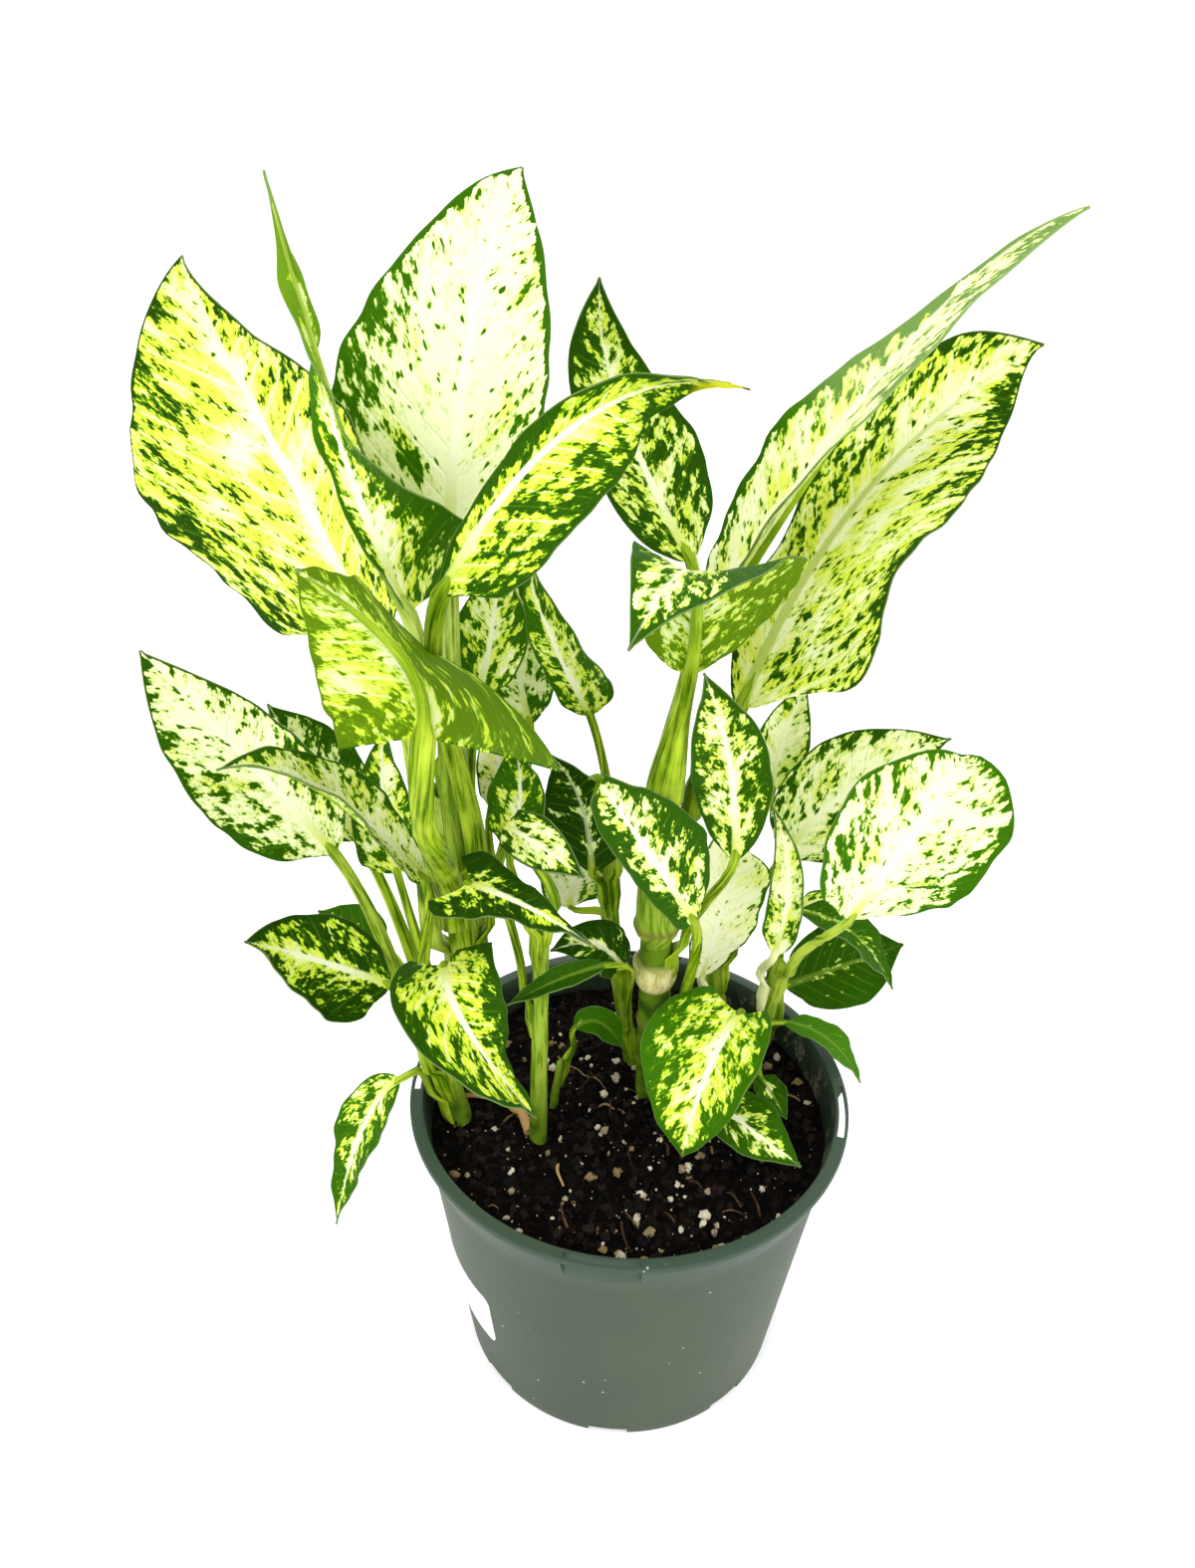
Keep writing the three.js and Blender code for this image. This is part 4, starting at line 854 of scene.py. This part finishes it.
def leafMaterial(name, under):
    material, shade = newMaterial(name, specular=0.03)
    q, r, phase = shade.attribute("vein").parts()
    s, t, seed = shade.attribute("leafAt").parts()
    green, dark, yellow = shade.attribute("tint").parts()
    edge, ribShare, dry = shade.attribute("edge").parts()
    marginWide, ribGreen, _ = shade.attribute("rim").parts()
    flank = s.step(-0.02, 0.02)
    out = s.size()
    # Spots along the side veins, the groups that they lie in, small islands and frayed edges.
    spots = shade.noise((q * 2.4, r * 2.5, seed * 3.7 + flank * 5), 1, 3, 0.6)
    groups = shade.noise((q * 0.8, r * 0.7, seed * 2.3 + flank * 9), 1, 2)
    islands = shade.noise((q * 3.4, r * 2.6, seed * 7.1 + flank * 3), 1, 1)
    grain = shade.noise((q * 9, r * 7, seed * 1.9 + flank * 3), 1, 2)
    field = (spots - 0.5) * 9 + (groups - 0.5) * 5 + (grain - 0.5) * 2.2
    inward = 1 - out.step(0, 0.3)
    amount = green * 5.4 - 2.95 + out.step(0.35, 1) * 0.9 + t.step(0.8, 1) * 0.7
    amount = amount - inward * (0.3 + green * 1.5) * (1 - green.step(0.85, 0.97))
    ragged = (groups - 0.5) * (0.3 + marginWide) + (spots - 0.5) * 0.4 + marginWide
    margin = (1 - (edge - ragged).step(-0.03, 0.05)).most(1 - edge.step(0.03, 0.075))
    level = (field + amount + margin * 3).most((islands - 0.715 + green * 0.05) * 13)
    line = 1 - (phase + (spots - 0.5) * 0.25).wave(0.5).step(0.01, 0.12)
    line = line * ribShare.step(0.8, 1.4) * edge.step(0.1, 0.5)
    level = level - line * 0.3
    soft = 1.4 if under else 1
    yellowness = (yellow * 1.5 + (groups - 0.5) * 3.4 - inward * 0.6 - 0.2).step(0, 1)
    cream = shade.mix(palette["cream"], palette["butter"], yellowness)
    halo = level.step(-1.5, -0.15) * (0.45 + yellow * 0.55)
    lime = shade.mix(palette["lime"], palette["brightLime"], grain.step(0.4, 0.6))
    base = shade.mix(cream, lime, halo)
    base = base.paint(palette["vein"], line * 0.5 * (1 - level.step(-0.6, 0)))
    middleGreen = shade.mix(palette["grass"], palette["moss"], dark)
    deepGreen = shade.mix(palette["leafGreen"], palette["bottle"], dark)
    greys = (0 - dark).step(0, 1)
    middleGreen = middleGreen.paint(palette["paleGrey"], greys)
    deepGreen = deepGreen.paint(palette["grey"], greys)
    base = base.paint(middleGreen, level.step(-0.1 * soft, 0.07 * soft))
    base = base.paint(deepGreen, level.step(0.1, 0.1 + 0.5 * soft) * (0.7 + grain * 0.35))
    rib = 1 - (ribShare + (grain - 0.5) * 0.5).step(0.6, 1.2)
    ribColour = shade.mix(palette["ribLow"], palette["vein"], t.step(0.02, 0.3))
    ribColour = ribColour.paint(palette["ribDull"], green.step(0.62, 0.85))
    ribColour = ribColour.paint(palette["ribGreen"], ribGreen)
    base = base.paint(ribColour, rib * (0.9 - t.step(0.5, 1) * 0.75) * (1 - green.step(0.55, 0.9) * 0.5))
    # Side veins a little lighter on the dark green: partly their own colour, partly a painted highlight on
    # their lit ridges.
    base = base.paint(palette["grass"], line * level.step(0.2, 1) * 0.3)
    # Painted highlight: a thin light line along each blade's edge.
    rim = 1 - edge.step(0.0, 0.02)
    base = base.paint(palette["edgeHighlight"], rim * 0.3)
    dried = (t + (grain - 0.5) * 0.05 - 1 + dry * 0.17).step(0, 0.06) * dry.step(0, 0.05)
    base = base.paint(shade.mix(palette["drying"], palette["dry"], t.step(0.965, 0.985)), dried)
    if under:
        base = base.paint(palette["under"], 0.3 - ribGreen * 0.27)
    shade.set("Roughness", 0.4 + grain * 0.22)
    shade.skin(base, line * -0.5 + grain * 0.2 + rib * 0.3, 0.0006, 0.6)
    return material


def stalkMaterial():
    material, shade = newMaterial("fresh_stalk", roughness=0.42, specular=0.05)
    around, run, _ = shade.attribute("vein").parts()
    _, _, seed = shade.attribute("leafAt").parts()
    _, _, pale = shade.attribute("tint").parts()
    _, ribPart, _ = shade.attribute("edge").parts()
    streak = shade.noise((around * 9, run * 0.35, seed * 3), 1, 4, 0.65)
    patch = shade.noise((around * 2, run * 0.6, seed * 5), 1, 3)
    fresh = shade.mix("7c9e0a", "3a5c02", streak.step(0.4, 0.62))
    light = shade.mix("b8d03a", "f0f4b4", pale.step(0.4, 1))
    mixed = shade.mix(fresh, light, (patch * 2.0 - 0.9 + pale * 0.8 + (0.5 - streak) * 1.4).step(0, 1))
    mixed = mixed.paint("8cb01c", ribPart * 0.4)
    shade.skin(mixed, streak, 0.0004, 0.5)
    return material


def caneMaterial():
    material, shade = newMaterial("cane_skin", specular=0.05)
    around, run, _ = shade.attribute("vein").parts()
    scar, woody, papery = shade.attribute("leafAt").parts()
    streak = shade.noise((around * 5, run * 0.5, 3), 1, 4, 0.65)
    patch = shade.noise((around * 1.2, run * 1.2, 7), 1, 4)
    skin = shade.mix("9cb83c", "5c800c", streak.step(0.4, 0.64))
    old = shade.mix("64841a", "3a560e", patch.step(0.4, 0.62))
    mixed = shade.mix(skin, old, woody)
    mixed = mixed.paint("7a6a3c", scar * 0.8)
    paper = shade.mix("f0eaa8", "b4ac4c", (streak * 1.4 - 0.2 + patch - 0.5).step(0.3, 0.7))
    mixed = mixed.paint(paper, papery)
    shade.skin(mixed, streak * 0.6 - scar * 0.8, 0.0006, 0.6)
    return material


# The thick cane on the right: bare and ringed low down, then a papery collar, then a green body. The
# scars lie at shares of its length, and the rest at heights.
dressed = {
    "cane": "right", "scars": (0.36, 0.47, 0.6), "scarRise": 0.8, "collar": (163, 174), "body": 184,
    "fade": (206, 220), "slim": 0.4, "paper": 1.2, "flare": 1.5, "swell": 2.3,
}
caneForm = {"sides": 28, "rings": 110, "uneven": 0.25, "woody": (112, 150)}


def makeCane(name, material, seed):
    path = canePaths[name]
    bm = tubeForm(caneForm["sides"], caneForm["rings"])
    layers = addLayers(bm)
    for vert in bm.verts:
        at = vert.co.z + 0.5
        middle = path.at(at)
        along = path.along(at)
        side = Vector((0, 1, 0)).cross(along).normalized()
        up = along.cross(side)
        turn = math.atan2(vert.co.y, vert.co.x)
        radius = caneRadius(name, at)
        scar = paper = 0
        woody = 1 - ease(*caneForm["woody"], middle.z + 6 * math.sin(turn * 2 + seed))
        if name == dressed["cane"]:
            z, low, high, body = middle.z, *dressed["collar"], dressed["body"]
            near = min(abs(at - spot) * path.total for spot in dressed["scars"])
            scar = math.exp(-((near / 1.1) ** 2))
            paper = ease(low - 0.5, low + 0.5, z) - ease(high - 0.5, high + 0.5, z)
            flare = ease(low, high, z) * paper
            swell = ease(body, body + 5, z) - ease(*dressed["fade"], z)
            radius += dressed["scarRise"] * math.exp(-((near / 1.6) ** 2))
            radius -= dressed["slim"] * (1 - ease(high - 2, high, z))
            radius += paper * dressed["paper"] + flare * dressed["flare"] + swell * dressed["swell"]
            woody = 1 - ease(body - 1.2, body, z + 0.6 * math.sin(turn * 2))
        bumps = noise.noise(Vector((math.cos(turn) * 2, math.sin(turn) * 2, at * 9 + seed)))
        radius += caneForm["uneven"] * bumps
        top = 1 - ease(0.97, 1, at) * 0.5
        vert[layers["vein"]] = (turn * radius / 10, at * path.total / 10, 0)
        vert[layers["leafAt"]] = (scar, woody, paper)
        vert.co = (middle + (side * math.cos(turn) + up * math.sin(turn)) * radius * top) * mm
    finished(newObject("plant_cane_" + name, bm, 60), "cane_skin", [material], "cane_" + name)


def wallAt(z):
    # The radius of the pot's outside at a height.
    return lerp(pot["baseRadius"], pot["shoulderRadius"], z / pot["bandFoot"])


def mouthInside(z):
    return wallAt(z) - pot["wall"] - soil["wallGap"]


def soilHeight(x, y):
    reach = math.hypot(x, y) / mouthInside(soil["top"])
    lumps = math.sin(x * 0.21 + 1.3) * math.cos(y * 0.26) + 0.6 * math.sin(x * 0.47 - y * 0.39)
    return soil["top"] + 1.5 * (1 - reach * reach) + soil["lump"] * lumps * (1 - 0.6 * reach)


def spun(profile, sides):
    # A closed form turned round the pot's axis from a profile of radius and height.
    bm = bmesh.new()
    verts = [bm.verts.new((r * mm, 0, z * mm)) for r, z in profile]
    for a, b in zip(verts, verts[1:]):
        bm.edges.new((a, b))
    geometry = list(bm.verts) + list(bm.edges)
    turn = 2 * math.pi
    bmesh.ops.spin(bm, geom=geometry, cent=(0, 0, 0), axis=(0, 0, 1), angle=turn, steps=sides, use_merge=True)
    bmesh.ops.remove_doubles(bm, verts=bm.verts, dist=0.00001)
    turnOutward(bm)
    return bm


def makeSoil():
    low = pot["floorHeight"] + 0.8
    wide = mouthInside(soil["top"])
    profile = [(0, low), (mouthInside(low) - 3, low), (mouthInside(low + 2), low + 2)]
    profile += [(wide, soil["top"] - 3)]
    profile += [(wide * i / soil["rounds"], soil["top"]) for i in range(soil["rounds"], -1, -1)]
    bm = spun(profile, soil["around"])
    for vert in bm.verts:
        x, y, z = vert.co / mm
        if z > soil["top"] - 0.01:
            spot = Vector((x, y, 0))
            lumps = sum(noise.noise(spot * scale) * high for scale, high in soilLumps)
            vert.co.z = (soilHeight(x, y) + lumps * soil["grain"]) * mm
    finished(newObject("potting_soil", bm, 70), "potting_soil", [soilMaterial()], "soil")


def soilMaterial():
    material, shade = newMaterial("peat", roughness=0.95, specular=0.08)
    place = shade.objectPlace()
    rough = shade.noise(place, 260, 6, 0.7)
    broad = shade.noise(place, 60, 3, 0.5)
    specks = shade.cells(place, 420)
    pick = shade.noise(place, 330, 1, 0.5)
    base = shade.mix("050303", "20160f", rough.step(0.45, 0.72))
    base = base.paint("3a2a1d", broad.step(0.55, 0.7) * rough.step(0.5, 0.7) * 0.5)
    grit = (1 - specks.step(0.12, 0.22)) * pick.step(0.62, 0.66)
    base = base.paint("b9a78c", grit * 0.8)
    shade.skin(base, rough + broad, 0.002, 0.9)
    return material


# Loose things on the soil: how many are tried, how large they are, how far they sink in, how rough
# they are, and where they gather (x, y, reach).
crumbs = {
    "peat_crumbs": {
        "count": 1100, "small": 0.5, "large": 1.9, "sunk": 0.45,
        "colour": ("060404", "20150e"), "rough": 0.9, "gather": None,
    },
    "perlite": {
        "count": 700, "small": 0.3, "large": 2.0, "sunk": 0.4,
        "colour": ("d8ccb4", "857048"), "rough": 0.6, "gather": (28, -38, 24),
    },
}
twigs = {"count": 34, "short": 3, "long": 11, "thin": 0.25, "thick": 0.7, "colour": ("b8925c", "3a2618")}
# Those that show most: both ends, half thickness and how dark.
twigSpots = [
    ((47.7, 18), (67.1, 8.4), 0.7, 0.5),
    ((-68.5, 6.3), (-54.7, 4.9), 1.4, 0),
    ((-28.1, 26.6), (-8.7, 10.7), 0.35, 0.55),
    ((-37, -13.5), (-47, 3), 2.3, -0.1),
    ((-26, -27.7), (-23.5, -36.9), 0.7, 0.2),
]


def crumbMaterial(name, pair, roughness):
    material, shade = newMaterial(name, roughness=roughness, specular=0.2)
    pick, _, _ = shade.attribute("pick").parts()
    grain = shade.noise(shade.objectPlace(), 900, 4, 0.6)
    base = shade.mix(pair[0], pair[1], (pick + (grain - 0.5) * 0.9).step(0.2, 0.9))
    shade.skin(base, grain, 0.0005, 0.7)
    return material


def soilSpot(draw, spread=1.0):
    reach = mouthInside(soil["top"]) * 0.97 * math.sqrt(draw.random()) * spread
    turn = draw.uniform(0, 2 * math.pi)
    return reach * math.cos(turn), reach * math.sin(turn)


def makeCrumbs():
    draw = random.Random(11)
    for name, kind in crumbs.items():
        forms = []
        gather = kind["gather"]
        for _ in range(kind["count"]):
            x, y = soilSpot(draw)
            if gather:
                near = math.hypot(x - gather[0], y - gather[1]) / gather[2]
                share = 0.35 + 0.9 * math.exp(-near * near) + noise.noise(Vector((x, y, 3)) * 0.12)
                if draw.random() > share:
                    continue
            size = lerp(kind["small"], kind["large"], draw.random() ** 2.4)
            z = soilHeight(x, y) + size * (0.5 - kind["sunk"]) + 0.3
            bm = bmesh.new()
            layer = bm.verts.layers.float_vector.new("pick")
            bmesh.ops.create_icosphere(bm, subdivisions=2 if size > 0.9 else 1, radius=1)
            pick = draw.random()
            stretch = Vector([draw.uniform(0.7, 1.2) for _ in range(3)])
            shift = Vector([draw.uniform(-50, 50) for _ in range(3)])
            for vert in bm.verts:
                rough = 1 + kind["rough"] * noise.noise(vert.co * 1.6 + shift) * 1.4
                spot = Vector([a * b for a, b in zip(vert.co, stretch)]) * size * rough
                vert[layer] = (pick, 0, 0)
                vert.co = (Vector((x, y, z)) + spot) * mm
            forms.append(bm)
        material = crumbMaterial(name, kind["colour"], 0.9)
        finished(newObject(name, joined(forms), 60), "potting_soil", [material])


def makeTwigs():
    draw = random.Random(5)
    ends = []
    for a, b, radius, pick in twigSpots:
        ends.append((Vector((*a, 0)), Vector((*b, 0)), radius, pick))
    for _ in range(twigs["count"]):
        x, y = soilSpot(draw, 0.93)
        turn = draw.uniform(0, 2 * math.pi)
        long = lerp(twigs["short"], twigs["long"], draw.random() ** 2)
        start = Vector((x, y, 0))
        end = start + Vector((math.cos(turn), math.sin(turn), 0)) * long
        if end.length < mouthInside(soil["top"]) - 2:
            thick = lerp(twigs["thin"], twigs["thick"], draw.random())
            ends.append((start, end, thick, lerp(0.45, 1, draw.random())))
    forms = []
    for start, end, radius, pick in ends:
        bm = tubeForm(8, 9)
        layer = bm.verts.layers.float_vector.new("pick")
        along = (end - start).normalized()
        side = Vector((0, 0, 1)).cross(along)
        bend = draw.uniform(-0.12, 0.12) * (end - start).length
        for vert in bm.verts:
            at = vert.co.z + 0.5
            middle = start.lerp(end, at) + side * bend * math.sin(math.pi * at)
            middle.z = soilHeight(middle.x, middle.y) + radius * 0.6 + 0.8 + 1.2 * math.sin(math.pi * at)
            wide = radius * (1 - 0.45 * at)
            vert[layer] = (pick, 0, 0)
            vert.co = (middle + side * (vert.co.x * wide) + Vector((0, 0, vert.co.y * wide * 0.8))) * mm
        turnOutward(bm)
        forms.append(bm)
    bark = crumbMaterial("bark", twigs["colour"], 0.85)
    finished(newObject("bark_and_twigs", joined(forms), 60), "potting_soil", [bark])


def ringBlock(inner, outer, low, high, middle, half):
    # A block between two radii and two heights, round the pot's axis.
    bm = bmesh.new()
    corners = [(inner, low), (outer, low), (outer, high), (inner, high)]
    start = Matrix.Rotation(math.radians(middle - half), 3, "Z")
    verts = [bm.verts.new(start @ Vector((r * mm, 0, z * mm))) for r, z in corners]
    face = bm.faces.new(verts)
    sweep = math.radians(2 * half)
    bmesh.ops.spin(bm, geom=[face], cent=(0, 0, 0), axis=(0, 0, 1), angle=sweep, steps=14)
    turnOutward(bm)
    return bm


def makePot():
    height, rim, mouth = pot["height"], pot["rimRadius"], pot["mouthRadius"]
    band, shoulder, base = pot["bandFoot"], pot["shoulderRadius"], pot["baseRadius"]
    floor, boss, foot = pot["floorHeight"], pot["bossRadius"], base - pot["footWidth"]
    recess, inside = floor - pot["wall"], wallAt(floor) - pot["wall"]
    # From the middle of the foot, up the outside, over the rim and down the inside.
    profile = [
        (0, 0), (boss, 0), (boss + 1, recess), (foot - 1, recess), (foot, 0),
        (base - 1, 0), (base - 0.3, 0.25), (base, 0.9),
        *[(lerp(base, shoulder - 0.06, k), lerp(0.9, band - 1.4, k)) for k in pot["wallRings"]],
        (shoulder - 0.06, band - 1.4), (shoulder + 0.25, band - 0.7), (shoulder + 1, band),
        (rim - 0.6, height - 3.4), (rim - 0.15, height - 2.7), (rim, height - 2),
        (rim, height - 0.7), (rim - 0.25, height - 0.2), (rim - 0.8, height),
        (mouth + 0.8, height), (mouth + 0.2, height - 0.25), (mouth, height - 0.8),
        (wallAt(band) - pot["wall"], band), (inside, floor + 0.4), (inside - 2, floor), (0, floor),
    ]
    body = newObject("nursery_pot", spun(profile, pot["sides"]))
    blocks = []
    under, half = height - pot["flange"], rimSlot["halfAngle"]
    for i in range(rimSlot["count"]):
        middle = rimSlot["firstAngle"] + i * 360 / rimSlot["count"]
        blocks.append(ringBlock(rimSlot["inner"], rimSlot["outer"], under - 4, height + 1, middle, half))
        blocks.append(ringBlock(rimSlot["inner"], rim + 2, band + 1.5, under, middle, half))
    for i in range(drainNotch["count"]):
        block = bmesh.new()
        bmesh.ops.create_cube(block, size=mm)
        bmesh.ops.scale(block, vec=(14, drainNotch["width"], drainNotch["height"] * 2), verts=block.verts)
        bmesh.ops.translate(block, vec=(base * mm, 0, 0), verts=block.verts)
        turn = Matrix.Rotation(math.radians(drainNotch["firstAngle"] + i * 360 / drainNotch["count"]), 3, "Z")
        bmesh.ops.rotate(block, cent=(0, 0, 0), matrix=turn, verts=block.verts)
        blocks.append(block)
    tools = [newObject("cutter", block) for block in blocks]
    for tool in tools:
        cut = body.modifiers.new("cut", "BOOLEAN")
        cut.operation = "DIFFERENCE"
        cut.object = tool
        cut.solver = "EXACT"
    edge = body.modifiers.new("edge", "BEVEL")
    edge.width = 0.25 * mm
    edge.segments = 2
    edge.limit_method = "ANGLE"
    edge.angle_limit = math.radians(50)
    mesh = applied(body)
    for tool in tools:
        bpy.data.objects.remove(tool)
    finished(newObject("nursery_pot", joined([mesh]), 35), "pot_plastic", [potMaterial()], "pot")


def potMaterial():
    material, shade = newMaterial("pot_plastic", specular=0.3)
    place = shade.objectPlace()
    x, y, z = place.parts()
    reach = (x * x + y * y).power(0.5)
    grain = shade.noise(place, 700, 3, 0.6)
    broad = shade.noise(place, 14, 3, 0.5)
    scuff = shade.noise((x * 40, y * 40, z * 400), 1, 3, 0.6)
    base = shade.mix("384636", "3f4c38", broad.step(0.35, 0.65))
    base = base.paint("34493a", z.step(0.104, 0.112) * 0.7)
    base = base.paint("5c6855", scuff.step(0.66, 0.8) * 0.2)
    dust = shade.cells(place, 170)
    pick = shade.noise(place, 95, 1, 0.5)
    specks = (1 - dust.step(0.06, 0.1)) * pick.step(0.6, 0.64)
    base = base.paint("c5cec6", specks * 0.7)
    slope = (pot["shoulderRadius"] - pot["baseRadius"]) / pot["bandFoot"]
    within = pot["baseRadius"] * mm - reach + z * slope
    inside = within.step(0.0008, 0.0012) * z.step(0.05, 0.09)
    # Painted shade: the pot's inside wall is darkened nearly to black.
    base = base.paint("0c1610", inside * 0.7)
    splash = shade.noise((x * 220, y * 220, z * 90), 1, 4, 0.7).step(0.56, 0.64)
    splash = splash * inside * (1 - z.step(0.1, 0.114))
    base = base.paint("4a3826", splash * 0.8)
    crust = shade.noise((x * 90, y * 90, z * 60), 1, 5, 0.75).step(0.5, 0.56)
    crust = crust * inside * x.step(0.02, 0.05)
    base = base.paint("8c8874", crust * grain.step(0.35, 0.6) * 0.6)
    shade.set("Roughness", 0.46 + grain * 0.14)
    shade.skin(base, grain, 0.0002, 0.5)
    return material


def makeLabel():
    bm = bmesh.new()
    bmesh.ops.create_grid(bm, x_segments=40, y_segments=28, size=0.5)
    corner = label["corner"]
    for vert in bm.verts:
        u, v = vert.co.x + 0.5, vert.co.y + 0.5
        wide = math.radians(2 * label["halfAngle"]) * wallAt(lerp(label["low"], label["high"], v))
        side = min(u, 1 - u) * wide
        inset = corner - math.sqrt(max(0, corner**2 - max(0, corner - side) ** 2))
        z = lerp(label["low"] + inset, label["high"] - inset, v)
        radius = lerp(pot["baseRadius"], pot["shoulderRadius"], z / (pot["bandFoot"] - 1)) + clearance
        turn = math.radians(label["angle"] + lerp(-label["halfAngle"], label["halfAngle"], u))
        vert.co = Vector((math.cos(turn) * radius, math.sin(turn) * radius, z)) * mm
    turnOutward(bm)
    piece = newObject("blank_label", bm)
    wall = piece.modifiers.new("wall", "SOLIDIFY")
    wall.thickness = label["thick"] * mm
    wall.offset = 1
    mesh = applied(piece)
    material, shade = newMaterial("label_paper", roughness=0.5, specular=0.4)
    grain = shade.noise(shade.objectPlace(), 500, 4, 0.6)
    shade.skin(shade.mix("f2f3f1", "fbfbfa", grain), grain, 0.0001, 0.4)
    finished(newObject("blank_label", joined([mesh]), 35), "label_paper", [material], "label")


bpy.context.scene.view_settings.view_transform = "Standard"
makeCamera()
makeStudio()
print("camera and studio made")
makePot()
makeLabel()
print("pot and label made")
makeSoil()
makeCrumbs()
makeTwigs()
print("soil made")
caneSkin = caneMaterial()
for number, name in enumerate(canes):
    makeCane(name, caneSkin, number + 1)
print("canes made")
leafSkins = [leafMaterial("leaf_upper", False), leafMaterial("leaf_under", True), stalkMaterial()]
for number, (name, leaf) in enumerate(leaves.items()):
    makeLeaf(name, leaf, number + 1, leafSkins)
print("leaves made")
